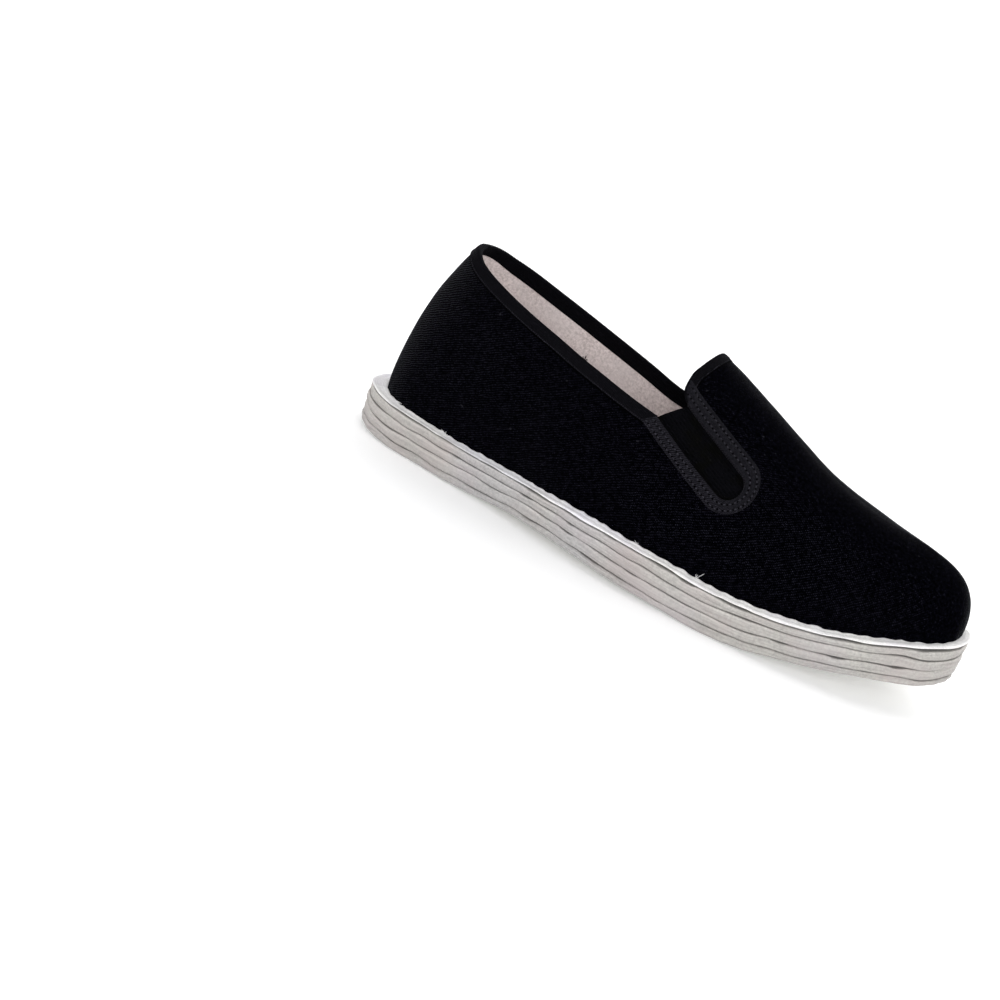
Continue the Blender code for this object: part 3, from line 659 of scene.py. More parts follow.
def layer_rings(levels, proud, rounding, wave_low, wave_high, edge_wave):
    """Section of a folded cloth layer, round its edge from the bottom to the top."""
    low, high = levels
    rings, arcs = [], []
    crease = 0.35 * MM * smoothstep(-0.2, 0.9, around(38 * MM))
    crease_at = 0.5 + 0.12 * around(90 * MM)
    for angle in np.linspace(-math.pi / 2, math.pi / 2, 17):
        out = math.cos(angle) ** 0.6
        up = (math.sin(angle) + 1) / 2
        groove = crease * np.exp(-((up - crease_at) / 0.07) ** 2)
        inset = -proud - TOE_PROUD + rounding * (1 - out) + edge_wave * (0.35 + 0.65 * out) + groove
        xy = ring_of(inset)
        z = stack_height(low + (high - low) * up, xy[:, 0]) + wave_low * (1 - up) + wave_high * up
        rings.append(np.concatenate([xy, z[:, None]], -1))
        arcs.append(join(RING_ARC, np.full_like(RING_ARC, (high - low) * up)))
    return np.array(rings), np.array(arcs)


def make_layers():
    level = 0.0
    below = np.zeros(2 * RING)
    for number, (node, part, proud) in enumerate(LAYERS[:-1]):
        thickness = part * SOLE_THICKNESS
        above = ripple((26, 0.17), (70, 0.16))
        gap = 0.06 * MM + 0.26 * MM * smoothstep(-0.4, 0.9, around(45 * MM))
        gap = gap + 0.5 * MM * smoothstep(0.7, 1.3, around(30 * MM))
        rounding = 0.75 * MM + 0.6 * MM * smoothstep(-0.8, 0.9, around(55 * MM))
        edge = ripple((9, 0.08), (22, 0.18), (60, 0.24))
        piece = Piece()
        if number == 0:
            edge = edge * 0.6 + 0.22 * MM * np.cos(2 * math.pi * RING_ARC / STITCH_PITCH + around(30 * MM))
        low = level + (0.0 if number == 0 else 0.12 * MM)
        rings, arcs = layer_rings((low, level + thickness), proud * MM, rounding, below, above - gap, edge)
        ids = piece.grid(rings, arcs, across=True)
        piece.cap(ids[-1])
        if number:
            piece.cap(ids[0])
        else:
            tread_bottom(piece, rings[0])
        obj = piece.build("cloth_" + node, [LOOKS["sole"], LOOKS["bottom"]], sharp=60)
        dress(obj, "stitched_cloth", node)
        level += thickness
        below = above
    make_welt(level, below)


def make_welt(low, below):
    """White strip on top of the stack; its upper surface swells between the stitches that hold the upper."""
    node, part, proud = LAYERS[-1]
    high = SOLE_THICKNESS
    bumps = 0.5 + 0.5 * np.cos(2 * math.pi * RING_ARC / (7.0 * MM) + 1.4 * around(40 * MM))
    edge = ripple((24, 0.22), (70, 0.25))
    swell = (0.10 + 0.48 * bumps) * MM + ripple((14, 0.14), (5, 0.10))
    gap = 0.15 * MM + 0.45 * MM * smoothstep(0.0, 1.2, around(36 * MM))
    gap = gap + 0.35 * MM * smoothstep(0.86, 0.94, RING_SHARE)
    sit = feather_inset(RING_SHARE)
    # Section from the lower edge out, up and in: share of the height, inset in mm, share of the swell
    section = [(0.00, 3.4, 0.0), (0.03, 2.2, 0.0), (0.10, 1.2, 0.0), (0.26, 0.55, 0.0), (0.44, 0.35, 0.0),
               (0.60, 0.5, 0.05), (0.72, 1.0, 0.15), (0.80, 1.7, 0.3)]
    rings, arcs = [], []
    for up, inset, part_swell in section:
        xy = ring_of(-proud * MM - TOE_PROUD + inset * MM + edge)
        z = stack_height(low + (high - low) * up, xy[:, 0])
        z = z + (below + gap) * (1 - up) + swell * part_swell
        rings.append(np.concatenate([xy, z[:, None]], -1))
        arcs.append(join(RING_ARC, np.full_like(RING_ARC, (high - low) * up)))
    for way, part_swell, sunk in ((0.25, 0.5, 0.45), (0.5, 0.8, 0.3), (0.72, 1.0, 0.15), (0.88, 1.0, 0.0),
                                  (1.02, 0.7, 0.0), (1.25, 0.0, 0.1)):
        inset = 2.0 * MM + (sit - 2.0 * MM) * way
        xy = ring_of(inset + edge * (1 - min(way, 1.0)))
        z = stack_height(high, xy[:, 0]) + swell * part_swell - sunk * MM
        rings.append(np.concatenate([xy, z[:, None]], -1))
        arcs.append(join(RING_ARC, (high - low) + inset))
    piece = Piece()
    ids = piece.grid(np.array(rings), np.array(arcs), across=True)
    piece.cap(ids[0])
    piece.cap(ids[-1])
    dress(piece.build("cloth_welt", [LOOKS["welt"]], sharp=70), "white_cloth", node)


# Underside
STITCH_LENGTH = 6.2 * MM
ROW_INSETS = [(7.0 + 5.5 * k) * MM for k in range(8)]
EDGE_LINE = np.concatenate([edge_point(-1, even_places(300)), edge_point(1, even_places(300))[-2:0:-1]])


def in_chunks(measure, points, count):
    """Applies a measure to many points of a plane, some at a time."""
    flat = points.reshape(-1, 2)
    found = [measure(flat[start:start + count]) for start in range(0, len(flat), count)]
    return np.concatenate(found).reshape(points.shape[:-1])


def depth_inside(points):
    """Distance of points of the underside from the sole's edge."""
    def measure(some):
        return np.min(size_of(some[:, None] - EDGE_LINE[None]), axis=1)

    return in_chunks(measure, points, 4000)


def row_loops(depth):
    """Closed lines at one distance from the edge: round the whole sole, or leaves in forefoot and heel."""
    s = np.linspace(0.004, 0.996, 500)
    middle = join(place(s), centre_line(s))
    clear = depth_inside(middle) > depth
    loops, start = [], None
    for k in range(len(s) + 1):
        on = k < len(s) and clear[k]
        if on and start is None:
            start = k
        if not on and start is not None:
            if k - start > 12:
                loops.append(middle[start:k])
            start = None
    lines = []
    for line in loops:
        halves = []
        for side in (-1, 1):
            low, high = np.zeros(len(line)), np.full(len(line), BALL_WIDTH)
            for _ in range(22):
                half = (low + high) / 2
                at = line + join(np.zeros_like(half), side * half)
                width = half_width(share(at[:, 0]))
                deep = (depth_inside(at) > depth) & (half < width)
                low, high = np.where(deep, half, low), np.where(deep, high, half)
            halves.append(line + join(np.zeros_like(low), side * low))
        lines.append(np.concatenate([halves[0], halves[1][::-1], halves[0][:1]]))
    return lines


def underside_stitches():
    """Middle, direction and length of each stitch on the underside."""
    found = []
    for row, depth in enumerate(ROW_INSETS):
        for line in row_loops(depth):
            arc = lengths(line, 0)
            count = max(3, round(arc[-1] / STITCH_PITCH))
            at = np.arange(count) + 0.5 * (row % 2) + random.uniform(-0.07, 0.07, count)
            at = at * arc[-1] / count % arc[-1]
            ends = []
            for shift in (-0.5, 0.5):
                place_on = (at + shift * STITCH_LENGTH * random.uniform(0.9, 1.05, count)) % arc[-1]
                ends.append(join(np.interp(place_on, arc, line[:, 0]), np.interp(place_on, arc, line[:, 1])))
            first, last = ends
            middle, way = (first + last) / 2, last - first
            size = size_of(way, True)
            keep = size[:, 0] > 0.55 * STITCH_LENGTH
            across = join(-way[:, 1], way[:, 0]) / size
            slant = 0.35 * MM + random.normal(0, 0.12 * MM, (count, 1))
            half = way / 2 + across * slant
            found.append(np.concatenate([middle - half, middle + half], -1)[keep])
    return np.concatenate(found)


STITCHES = underside_stitches()


def bottom_relief(xy):
    """How far the underside is pulled up into the sole: along each row, and most where the thread goes in."""
    ends = np.concatenate([STITCHES[:, :2], STITCHES[:, 2:]])
    first, way = STITCHES[:, :2], STITCHES[:, 2:] - STITCHES[:, :2]

    def measure(some):
        near_end = np.min(size_of(some[:, None] - ends[None]), axis=1)
        from_first = some[:, None] - first[None]
        part = np.clip(np.einsum("ijk,jk->ij", from_first, way) / np.sum(way**2, axis=1), 0, 1)
        near = np.min(size_of(from_first - part[..., None] * way[None]), axis=1)
        return 0.45 * np.exp(-(near / (1.4 * MM)) ** 2) + 0.55 * np.exp(-(near_end / (0.9 * MM)) ** 2)

    return in_chunks(measure, xy, 3000) * MM


def tread_bottom(piece, ring):
    """Fine grid across the underside, between the outer and the inner half of the ring."""
    columns = 110
    outer, inner = halves_of(ring[:, :2])
    way = (0.5 - 0.5 * np.cos(np.linspace(0, math.pi, columns + 1)))[None, :, None]
    xy = outer[:, None] + (inner - outer)[:, None] * way
    inside = depth_inside(xy)
    soft = 0.12 * MM * Waves(24 * MM, 2)(xy) + 0.15 * MM
    pulled = bottom_relief(xy) + np.maximum(soft, 0.03 * MM)
    z = stack_height(0.0, xy[..., 0]) + smoothstep(0, 3 * MM, inside) * pulled
    points = np.concatenate([xy, z[..., None]], -1)
    points[:, 0], points[:, -1] = halves_of(ring)
    points[0], points[-1] = points[0, 0], points[-1, 0]
    piece.grid(points, xy, 1)


def capsules(name, look, starts, ends, radius, sides=6, flat=1.0, up=None, sag=0.0):
    """Short rounded threads from starts to ends, as one object."""
    starts, ends = np.asarray(starts, float), np.asarray(ends, float)
    way = ends - starts
    size = size_of(way, True)
    way = way / size
    up = np.tile([[0.0, 0.0, 1.0]], (len(way), 1)) if up is None else np.asarray(up, float)
    side = np.cross(way, up)
    side /= size_of(side, True)
    up = np.cross(side, way)
    piece = Piece()
    stops = [(0.0, 0.25), (0.06, 0.7), (0.2, 1.0), (0.5, 1.08), (0.8, 1.0), (0.94, 0.7), (1.0, 0.25)]
    angles = np.linspace(0, 2 * math.pi, sides, endpoint=False)
    rings = []
    for part, width in stops:
        middle = starts + way * size * part - up * sag * 4 * part * (1 - part)
        ring = [middle + (side * math.cos(a) + up * math.sin(a) * flat) * radius * width for a in angles]
        rings.append(np.stack(ring, 1))
    body = np.stack(rings, 1)
    for one in body:
        ids = piece.grid(one, across=True)
        piece.close((ids[0], ids[-1]))
    return piece.build(name, [look], merge=False, sharp=60)


def make_underside():
    ends = []
    for columns in (slice(0, 2), slice(2, 4)):
        xy = STITCHES[:, columns]
        ends.append(np.concatenate([xy, (stack_height(0.0, xy[:, 0]) + 0.50 * MM)[:, None]], -1))
    threads = capsules("underside_stitches", LOOKS["thread"], *ends, 0.60 * MM, flat=0.6, sag=0.10 * MM)
    dress(threads, "stitched_cloth")
    # Dark capsules just past each stitch's end paint the shade in the holes where the thread goes in
    way = ends[1] - ends[0]
    way /= size_of(way, True)
    lift = np.array([0, 0, 0.35 * MM])
    hole_shade_ends = [ends[1] + way * reach * MM + lift for reach in (0.05, 1.15)]
    holes = capsules("underside_hole_shades", LOOKS["hole"], *hole_shade_ends, 0.42 * MM, flat=0.6)
    dress(holes, "stitched_cloth")


# Upper
UPPER_RING = 230
UPPER_ROWS = 56
wrinkles = Waves(34 * MM)
small_wrinkles = Waves(13 * MM)
pucker_phase = Waves(60 * MM)
facing_wave = Waves(5 * MM, 2)
FACING_WIDTH = 5.0 * MM
FACING_ROWS = (1.4 * MM, 3.7 * MM)
TAB_DEPTH = 3.8 * MM
COLLAR_DEPTH = 4.2 * MM
FACING_PITCH = 2.1 * MM


def relief(skin, height):
    """How far the cloth stands off the last's plain form."""
    soft = 0.16 * MM * wrinkles(skin) + 0.05 * MM * small_wrinkles(skin)
    arc = lengths(skin, 0)
    pucker = np.cos(2 * math.pi * arc / (7.0 * MM) + 2 * pucker_phase(skin)) - 0.4
    pulled = 0.22 * MM * pucker * np.exp(-np.maximum(height, 0) / (4.5 * MM))
    tuck = -0.35 * MM * np.exp(-np.maximum(height, 0) / (1.5 * MM))
    return soft + pulled + tuck


def opening_outline(y):
    beyond = float(place(-PAST_THE_SHOE))
    points = [(beyond, float(collar_z(place(0), y)))]
    points += [(float(place(s)), float(collar_z(place(s), y))) for s in np.linspace(0, COLLAR[-1][0], 60)]
    end_x, end_z = gore_end()
    for turn in np.linspace(-GORE_SLOPE - math.pi / 2, -GORE_SLOPE + math.pi / 2, 33):
        points.append((end_x + GORE_HALF_WIDTH * math.cos(turn), end_z + GORE_HALF_WIDTH * math.sin(turn)))
    first, last = TAB_EDGE[0][1], TAB_EDGE[-1][1]
    for height in np.linspace(first, last, 30):
        z = SOLE_THICKNESS + height * COLLAR_HEIGHT
        points.append((float(tab_x(z)), z))
    roof = SOLE_THICKNESS + (1 + PAST_THE_SHOE) * LAST_HEIGHT
    return points + [(points[-1][0], roof), (beyond, roof)]


def make_upper():
    tau = even_places(UPPER_RING)[:, None]
    phi = np.concatenate([[0, 0.006, 0.016, 0.032], np.linspace(0.055, math.pi / 2, UPPER_ROWS)])[None]
    piece = Piece()
    for side in (-1, 1):
        skin, normal = skin_and_normal(side, tau, phi)
        height = skin[..., 2] - skin[:, :1, 2]
        u = lengths(skin, 0)
        u = u - u[UPPER_RING // 2][None]
        places = join(u * -side, lengths(skin, 1))
        off = relief(skin, height)
        off[:, -1] = 0.0
        off[0], off[-1] = 0.0, 0.0
        outer = piece.grid(skin + normal * off[..., None], places)
        below = skin - normal * WALL
        below[:, 0, 2] = skin[:, 0, 2]
        ripple = 0.25 * MM * wrinkles(below * 1.3 + 1.0)
        ripple[0], ripple[-1], ripple[:, 0], ripple[:, -1] = 0, 0, 0, 0
        inner = piece.grid(below - normal * np.maximum(ripple, 0)[..., None], places, 1)
        piece.bridge(outer[:, 0], inner[:, 0], 2)
    obj = piece.build("upper_cloth", [LOOKS["twill"], LOOKS["lining"], LOOKS["tape"]], sharp=60)
    cutter_piece = Piece()
    walls = np.array([[(x, y, z) for x, z in opening_outline(y)] for y in (-BALL_WIDTH, BALL_WIDTH)])
    ids = cutter_piece.grid(walls, across=True, look=2)
    cutter_piece.close(ids, 2)
    cutter = cutter_piece.build("opening_cutter", [LOOKS["twill"], LOOKS["lining"], LOOKS["tape"]])
    cut = obj.modifiers.new("opening", "BOOLEAN")
    cut.operation = "DIFFERENCE"
    cut.solver = "EXACT"
    cut.object = cutter
    graph = bpy.context.evaluated_depsgraph_get()
    mesh = bpy.data.meshes.new_from_object(obj.evaluated_get(graph))
    obj.modifiers.clear()
    obj.data = mesh
    bpy.data.objects.remove(cutter)
    dress(obj, "black_cotton", "upper")


def swept_tape(name, skin_line, top, top_normal, along, depth_steps, hem):
    """Tape folded over an edge of the wall.

    skin_line(part) gives the outer face from the tape's lower edge (0) to the wall's edge (1), and hem is the
    part over which the tape grows to its full thickness.
    """
    path = np.gradient(top, axis=0)
    path /= size_of(path, True)
    low, _ = skin_line(0.0)
    off_edge = np.cross(path, top_normal)
    off_edge *= np.sign(np.sum(off_edge * (top - low), axis=1))[:, None]
    cut_normal = np.cross(np.array([0.0, 1.0, 0.0]), along)
    across = np.cross(path, cut_normal)
    slant = -np.sum(across * off_edge, axis=1) / np.sum(across * top_normal, axis=1)
    slant = np.clip(slant, -1.2, 1.2)
    rows = []
    cloth = 0.50 * MM
    wave = 0.08 * MM * Waves(11 * MM)(top) + 0.06 * MM

    def at_edge(out, up):
        return top + top_normal * out + off_edge * (slant * -out + up)[:, None]

    parts = np.linspace(0, 1, depth_steps)[:-1]
    skin, normal = skin_line(0.0)
    rows.append(skin - normal * 0.1 * MM)
    for part in (0.02, 0.07, *parts[1:]):
        skin, normal = skin_line(part)
        thick = cloth * smoothstep(-0.04, hem, part) + wave * min(1, part * 3)
        rows.append(skin + normal * thick[:, None])
    radius = WALL / 2 + cloth
    for angle in np.linspace(0.12, math.pi - 0.12, 9):
        up = np.full(len(top), math.sin(angle) * 0.8 * MM)
        rows.append(at_edge(-WALL / 2 + math.cos(angle) * radius, up))
    for part in parts[::-1]:
        skin, normal = skin_line(part)
        rows.append(skin - normal * (WALL + 0.45 * MM))
    skin, normal = skin_line(0.0)
    rows.append(skin - normal * (WALL + 0.05 * MM))
    points = np.stack(rows, 1)
    arcs = join(lengths(points, 0).mean(1, keepdims=True) + 0 * points[..., 0], lengths(points, 1))
    piece = Piece()
    ids = piece.grid(points, arcs)
    piece.close((ids[0], ids[-1]))
    return piece.build(name, [LOOKS["tape"]], merge=False, sharp=60)


def make_collar():
    top_rows = []
    for side in (-1, 1):
        tau = np.linspace(0, collar_end(side) + 0.8 * MM / SOLE_LENGTH, 150)
        phi = collar_phi(side, tau)
        top = last_skin(side, tau, phi)

        inner_part = (side > 0) * smoothstep(0.03, 0.25, tau)
        depth = COLLAR_DEPTH + (TAPE_DEPTH - COLLAR_DEPTH) * inner_part

        def too_far(middle):
            return size_of(last_skin(side, tau, middle) - top) > depth

        low = halve(too_far, np.zeros_like(phi), phi)
        top_rows.append((side, tau, phi, low))

    def skin_line(part):
        found = []
        for side, tau, phi, low in top_rows:
            at = low + (phi - low) * part
            found.append(skin_and_normal(side, tau, at))
        (outer, outer_normal), (inner, inner_normal) = found
        normals = np.concatenate([outer_normal[::-1], inner_normal[1:]])
        return np.concatenate([outer[::-1], inner[1:]]), normals

    top, normal = skin_line(1.0)
    ahead = collar_z(top[:, 0] + NUDGE, top[:, 1]) - collar_z(top[:, 0] - NUDGE, top[:, 1])
    along = join(np.full_like(ahead, 2 * NUDGE), np.zeros_like(ahead), ahead)
    dress(swept_tape("collar_tape", skin_line, top, normal, along, 8, 0.08), "black_tape", "collar_binding")
    # A dark line of capsules just below the tape paints the shade in the crease under its edge, and a raised
    # cord in the lighter facing cloth paints the lit rim of the tape's lower edge
    stitch_line("collar_crease_painted_shade", LOOKS["black_thread_and_painted_shade"], skin_line, -0.10, 0.30, 0.05)
    stitch_line("collar_edge_painted_highlight", LOOKS["band"], skin_line, 0.09, 0.28, 0.52)


def make_tab():
    corner_x, corner_z = tab_corner()
    rows = []
    for side in (-1, 1):
        _, first = skin_at(side, np.array([float(corner_x)]), np.array([float(corner_z + 0.5 * MM)]))
        phi = np.linspace(first[0], math.pi / 2, 60)

        def behind(middle):
            at = last_skin(side, middle, phi)
            return at[..., 0] < tab_x(at[..., 2])

        tau = halve(behind, np.full_like(phi, 0.3), np.full_like(phi, 0.7))
        top = last_skin(side, tau, phi)

        def too_near(middle):
            return size_of(last_skin(side, middle, phi) - top) < TAB_DEPTH

        rows.append((side, tau, halve(too_near, tau, tau + 0.1), phi))

    def skin_line(part):
        found = []
        for side, tau, low, phi in rows:
            at = low + (tau - low) * part
            found.append(skin_and_normal(side, at, phi))
        (outer, outer_normal), (inner, inner_normal) = found
        return np.concatenate([outer, inner[-2::-1]]), np.concatenate([outer_normal, inner_normal[-2::-1]])

    top, normal = skin_line(1.0)
    lean = tab_x(top[:, 2] + NUDGE) - tab_x(top[:, 2] - NUDGE)
    along = join(lean, np.zeros_like(lean), np.full_like(lean, 2 * NUDGE))
    dress(swept_tape("tab_hem", skin_line, top, normal, along, 8, 0.5), "black_tape", "tab_binding")
    # A dark line of capsules just past the hem paints the shade in the crease beside it, and a raised cord in
    # the lighter facing cloth paints the lit rim of the hem's edge
    stitch_line("tab_crease_painted_shade", LOOKS["black_thread_and_painted_shade"], skin_line, -0.08, 0.22, 0.0)
    stitch_line("tab_edge_painted_highlight", LOOKS["band"], skin_line, 0.1, 0.22, 0.12)


def along_line(line, normal, pitch, length, start=0.15):
    """Starts, ends and normals of stitches along a line; the first starts at that share of the pitch."""
    arc = lengths(line, 0)
    count = int(arc[-1] / pitch)
    first = (np.arange(count) + start) * pitch
    last = first + length
    pick = [np.stack([np.interp(at, arc, column) for column in line.T], -1) for at in (first, last)]
    up = np.stack([np.interp((first + last) / 2, arc, column) for column in normal.T], -1)
    return pick[0], pick[1], up


def stitch_line(name, look, skin_line, part, radius, off):
    """Row of long, close stitches beside a tape's lower edge, in one look: a dark one paints the shade of the
    crease below the tape, a lighter one paints the lit rim of the tape's edge; radius and off (over the
    cloth) are in mm.
    """
    line, normal = skin_line(part)
    starts, ends, up = along_line(line + normal * off * MM, normal, FACING_PITCH, 1.02 * FACING_PITCH)
    dress(capsules(name, look, starts, ends, radius * MM, up=up), "black_tape")


def make_gores():
    end = np.array(gore_end())
    reach = GORE_HALF_WIDTH + GORE_MARGIN
    rear = np.array([place(COLLAR[-1][0]), collar_z(place(COLLAR[-1][0]), 0.0)])
    front = np.array(tab_corner())
    inside = GORE_HALF_WIDTH - 1.2 * MM
    mouth = [-reach, -GORE_HALF_WIDTH - 0.8 * MM, inside, GORE_HALF_WIDTH, reach]
    collar_start, tab_start = (rear - end) @ GORE_ALONG, (front - end) @ GORE_ALONG
    clear = TAPE_DEPTH + 2 * SEAT_GAP
    starts = [collar_start + 2 * MM, collar_start + 0.2 * MM]
    starts += [tab_start, tab_start + clear / 2, tab_start + clear]
    widths = np.unique(np.concatenate([np.linspace(-reach, reach, 64), mouth]))
    first = np.interp(widths, mouth, starts)
    last = np.sqrt(np.maximum(reach**2 - widths**2, 0))
    run = first[:, None] + (last - first)[:, None] * np.linspace(0, 1, 70)[None]
    seen = end + run[..., None] * GORE_ALONG + widths[:, None, None] * GORE_SQUARE
    places = join(widths[:, None] + 0 * run, run)
    for side, node in ((-1, "gore_outer"), (1, "gore_inner")):
        skin, normal = on_skin(side, seen)
        near = WALL + 0.1 * MM - 0.5 * MM * (1 - smoothstep(2 * MM, 5 * MM, np.abs(widths)))[:, None, None]
        piece = Piece()
        outer = piece.grid(skin - normal * near, places)
        inner = piece.grid(skin - normal * (WALL + SEAT_GAP + GORE_THICKNESS), places)
        for rim in ((0, slice(None)), (-1, slice(None)), (slice(None), 0), (slice(None), -1)):
            piece.bridge(outer[rim], inner[rim])
        dress(piece.build("elastic_" + node[5:], [LOOKS["elastic"]]), "black_elastic", node)
        make_facing(side, node[5:])


def slot_line(radius, short, steps):
    """Line round the slot at one radius, seen from the side, from the collar to the tab's edge.

    short trims both ends. Also returns the length along the line.
    """
    end = np.array(gore_end())

    def arm(across, outside):
        def inside(length):
            return ~outside(end + GORE_SQUARE * across - GORE_ALONG * length[..., None])

        return float(halve(inside, np.array([5.0 * MM]), np.array([90.0 * MM]))[0])

    low_arm = arm(-GORE_HALF_WIDTH, lambda at: at[..., 1] > collar_z(at[..., 0], 0.0))
    low_arm += 0.8 * MM + 0.6 * (radius - GORE_HALF_WIDTH) - short
    top_arm = arm(radius, lambda at: at[..., 0] < tab_x(at[..., 1])) - short
    turn = math.pi * radius
    at = np.linspace(0, low_arm + turn + top_arm, steps)
    angle = np.clip((at - low_arm) / radius, 0, math.pi) - math.pi / 2
    back = np.maximum(low_arm - at, 0) + np.maximum(at - low_arm - turn, 0)
    line = end + radius * (np.cos(angle)[:, None] * GORE_ALONG + np.sin(angle)[:, None] * GORE_SQUARE)
    return line - GORE_ALONG * back[:, None], at


def over_tapes(line):
    """How far the facing lies over the collar's and the tab's tapes, from 0 to 1."""
    below_collar = collar_z(line[:, 0], 0.0) - line[:, 1]
    beyond_tab = line[:, 0] - tab_x(line[:, 1])
    on_collar = 1 - smoothstep(COLLAR_DEPTH, COLLAR_DEPTH + 1.2 * MM, below_collar)
    on_tab = 1 - smoothstep(TAB_DEPTH, TAB_DEPTH + 1.2 * MM, beyond_tab)
    behind = line[:, 0] < place(COLLAR[-1][0] + 0.02)
    ahead = line[:, 0] > tab_corner()[0] - 4 * MM
    return np.maximum(on_collar * behind, on_tab * ahead)


def make_facing(side, word):
    """Folded facing sewn round the slot with two rows of stitches, which pull small hollows into it."""
    fold = [(-0.40, -1.75), (-0.42, -0.9), (-0.36, -0.2), (-0.15, 0.22), (0.2, 0.36)]
    flat = [(r, 0.40) for r in np.arange(0.5, FACING_WIDTH / MM - 0.3, 0.25)]
    section = fold + flat + [(FACING_WIDTH / MM - 0.1, 0.30), (FACING_WIDTH / MM, -0.15)]
    rows, places = [], []
    for inset, off in section:
        line, at = slot_line(GORE_HALF_WIDTH + inset * MM, 0.1 * MM, 420)
        skin, normal = on_skin(side, line)
        near = sum(math.exp(-((inset * MM - row) / (0.6 * MM)) ** 2) for row in FACING_ROWS)
        puffed = 0.5 - 0.5 * np.cos(2 * math.pi * at / FACING_PITCH)
        height = off * MM + (0.26 * puffed - 0.34) * MM * near * (inset > 0.4)
        height = height + 0.10 * MM * facing_wave(line) * (inset > 3)
        height = height + 0.5 * MM * over_tapes(line) * (inset > -0.2)
        ends = smoothstep(0, 0.5 * MM, at) * smoothstep(0, 0.5 * MM, at[-1] - at)
        height = height - 0.45 * MM * (1 - ends)
        rows.append(skin + normal * height[:, None])
        places.append(join(at, np.full_like(at, inset * MM)))
    piece = Piece()
    piece.grid(np.array(rows), np.array(places))
    dress(piece.build("slot_facing_" + word, [LOOKS["band"]], merge=False, sharp=60), "black_cotton")
    rows_found, hole_shades_found = [], []
    for row in FACING_ROWS:
        line, _ = slot_line(GORE_HALF_WIDTH + row, 0.8 * MM, 500)
        skin, normal = on_skin(side, line)
        height = 0.5 * MM * over_tapes(line)
        on_top = skin + normal * (height + 0.24 * MM)[:, None]
        sunk = skin + normal * (height + 0.12 * MM)[:, None]
        rows_found.append(along_line(on_top, normal, FACING_PITCH, 1.05 * MM))
        # Short dark capsules between the stitches paint the shade of the holes the thread goes through
        hole_shades_found.append(along_line(sunk, normal, FACING_PITCH, 0.45 * MM, 0.79))
    for name, look, found, radius in (("slot_stitches_", "grey_thread", rows_found, 0.34 * MM),
                                      ("slot_hole_shades_", "black_thread_and_painted_shade", hole_shades_found, 0.42 * MM)):
        starts, ends, up = (np.concatenate(part) for part in zip(*found))
        dress(capsules(name + word, LOOKS[look], starts, ends, radius, up=up), "black_cotton")


# Inside
def make_insole():
    low = SOLE_THICKNESS + SEAT_GAP
    piece = Piece()
    rings = []
    base = feather_inset(RING_SHARE) + WALL + 0.5 * MM
    for up, inset in ((0.0, 0.0), (0.4, 0.0), (0.75, 0.15), (0.92, 0.6), (1.0, 1.4)):
        xy = ring_of(base + inset * MM)
        z = low + INSOLE_THICKNESS * up + rise(xy[:, 0])
        rings.append(np.concatenate([xy, z[:, None]], -1))
    ids = piece.grid(np.array(rings), across=True)
    piece.cap(ids[0])
    top = rings[-1]
    outer, inner = halves_of(top[:, :2])
    way = np.linspace(0, 1, 41)[None, :, None]
    xy = outer[:, None] + (inner - outer)[:, None] * way
    worn = 0.25 * MM * Waves(30 * MM, 2)(xy)
    width = size_of(inner - outer)[:, None] * np.minimum(way[..., 0], 1 - way[..., 0])
    z = low + INSOLE_THICKNESS + rise(xy[..., 0]) + np.minimum(worn, 0.1 * MM) * smoothstep(0, 8 * MM, width)
    points = np.concatenate([xy, z[..., None]], -1)
    piece.grid(points, xy)
    dress(piece.build("insole_cloth", [LOOKS["lining"]], sharp=60), "beige_lining", "insole")


# Loose ends
def curl(start, way, length, bend):
    """Middle line of one loose thread end."""
    way = way / np.linalg.norm(way)
    steps = np.linspace(0, 1, 9)[:, None]
    turn = random.normal(size=3) * bend
    return start + way * steps * length + turn * (steps**2) * length


def threads(name, look, lines, radius):
    """Thin tubes along the lines, as one object."""
    piece = Piece()
    angles = np.linspace(0, 2 * math.pi, 5, endpoint=False)
    for line in lines:
        path = np.gradient(line, axis=0)
        path /= size_of(path, True)
        side = np.cross(path, np.array([0.3, 0.5, 0.81]))
        side /= size_of(side, True)
        other = np.cross(path, side)
        thin = (radius * np.linspace(1, 0.45, len(line)))[:, None]
        rings = [line + (side * math.cos(a) + other * math.sin(a)) * thin for a in angles]
        ids = piece.grid(np.stack(rings, 1), across=True)
        piece.close((ids[0], ids[-1]))
    return piece.build(name, [look], merge=False)


def make_loose_ends():
    """Cut thread ends at the welt, and a frayed nub on the collar."""
    lines = []
    for s, count in ((0.075, 6), (0.18, 3), (0.54, 4), (0.64, 4)):
        tau = np.arccos(1 - 2 * s) / math.pi
        foot = last_skin(-1, np.array(tau), np.array(0.0))
        out = normal_at(-1, np.array(tau), np.array(0.02))
        for _ in range(count):
            start = foot + out * 0.3 * MM + np.array([0, 0, BURIED]) + random.normal(size=3) * 0.4 * MM
            way = out + np.array([random.normal() * 0.9, 0, abs(random.normal()) * 0.6])
            lines.append(curl(start, way, random.uniform(0.9, 1.9) * MM, 0.5))
    dress(threads("loose_threads", LOOKS["white_thread"], lines, 0.14 * MM), "white_cloth")
    tau = np.array(0.40)
    phi = collar_phi(-1, tau)
    top = last_skin(-1, tau, phi) - normal_at(-1, tau, phi) * WALL / 2
    lines = []
    for _ in range(9):
        way = np.array([random.normal() * 0.6, random.normal() * 0.3, 1.0])
        lines.append(curl(top + random.normal(size=3) * 0.5 * MM, way, random.uniform(1.2, 2.2) * MM, 0.5))
    dress(threads("collar_fray", LOOKS["black_thread_and_painted_shade"], lines, 0.17 * MM), "black_tape")


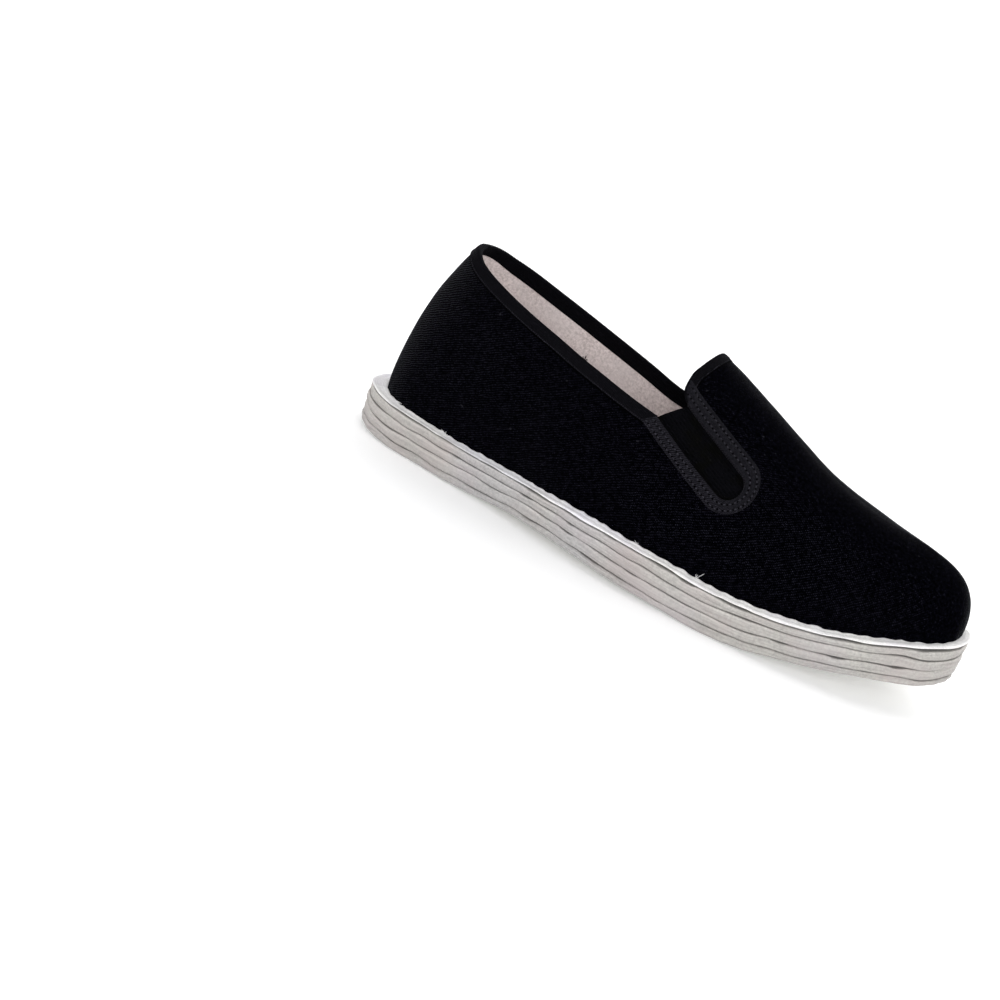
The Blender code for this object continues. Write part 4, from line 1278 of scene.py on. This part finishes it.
# Stage
def camera():
    """Placed as in the photo: above and in front of the outer side, and rolled."""
    azimuth, elevation, roll = math.radians(-17.838), math.radians(17.088), math.radians(22.094)
    forward = Vector((math.sin(azimuth) * math.cos(elevation), math.cos(azimuth) * math.cos(elevation),
                      -math.sin(elevation)))
    level = forward.cross(Vector((0, 0, 1))).normalized()
    upright = level.cross(forward)
    right = level * math.cos(roll) + upright * math.sin(roll)
    up = upright * math.cos(roll) - level * math.sin(roll)
    data = bpy.data.cameras.new("camera")
    data.sensor_width = 36
    data.lens = 57.6
    data.clip_start, data.clip_end = 0.02, 40
    obj = bpy.data.objects.new("camera", data)
    bpy.context.scene.collection.objects.link(obj)
    turn = Matrix((right, up, -forward)).transposed()
    obj.matrix_world = Matrix.Translation((0.14154, -0.63133, 0.19919)) @ turn.to_4x4()
    bpy.context.scene.camera = obj


def area_light(name, where, target, size, power, colour=(1, 1, 1)):
    data = bpy.data.lights.new(name, "AREA")
    data.shape = "RECTANGLE"
    data.size, data.size_y = size
    data.energy = power
    data.color = colour
    obj = bpy.data.objects.new(name, data)
    bpy.context.scene.collection.objects.link(obj)
    obj.location = where
    obj.rotation_euler = (Vector(target) - Vector(where)).to_track_quat("-Z", "Y").to_euler()


def staged(name, points, faces, **inputs):
    """A plain piece of the stage, with a white glow."""
    mesh = bpy.data.meshes.new(name)
    mesh.from_pydata(points, [], faces)
    obj = bpy.data.objects.new(name, mesh)
    bpy.context.scene.collection.objects.link(obj)
    made = bpy.data.materials.new(name)
    made.use_nodes = True
    sockets = made.node_tree.nodes["Principled BSDF"].inputs
    sockets["Emission Color"].default_value = (1, 1, 1, 1)
    for socket, value in inputs.items():
        sockets[socket.replace("_", " ")].default_value = value
    mesh.materials.append(made)
    return obj


def stage():
    """A pale floor, a low white wall round it, and three large soft lights."""
    half, corners, radius, height = 9, 48, 1.9, 0.9
    square = [(-half, -half, 0), (half, -half, 0), (half, half, 0), (-half, half, 0)]
    floor = staged("floor", square, [(0, 1, 2, 3)], Base_Color=(0.9, 0.9, 0.905, 1), Roughness=0.6,
                   Specular_IOR_Level=0.2, Emission_Strength=0.15)
    angles = np.linspace(0, 2 * math.pi, corners, endpoint=False)
    ring = join(np.cos(angles), np.sin(angles)) * radius
    wall = staged("backdrop", [(x, y, z) for z in (0.0, height) for x, y in ring.tolist()],
                  [(k, (k + 1) % corners, corners + (k + 1) % corners, corners + k) for k in range(corners)],
                  Base_Color=(0.8, 0.8, 0.8, 1), Emission_Strength=1.0)
    world = bpy.data.worlds.new("studio")
    world.use_nodes = True
    world.node_tree.nodes["Background"].inputs["Color"].default_value = (1, 1, 1, 1)
    world.node_tree.nodes["Background"].inputs["Strength"].default_value = 0.45
    bpy.context.scene.world = world
    area_light("overhead", (-0.15, 0.25, 1.1), (0, 0, 0.04), (1.2, 0.8), 6)
    area_light("front", (0.5, -1.2, 0.6), (0, 0, 0.04), (0.9, 0.7), 6)
    area_light("back", (0.35, 0.9, 0.55), (0.03, 0, 0.06), (0.8, 0.5), 4)
    bpy.context.scene.view_settings.view_transform = "Standard"


make_layers()
make_underside()
make_upper()
make_collar()
make_tab()
make_gores()
make_insole()
make_loose_ends()
camera()
stage()
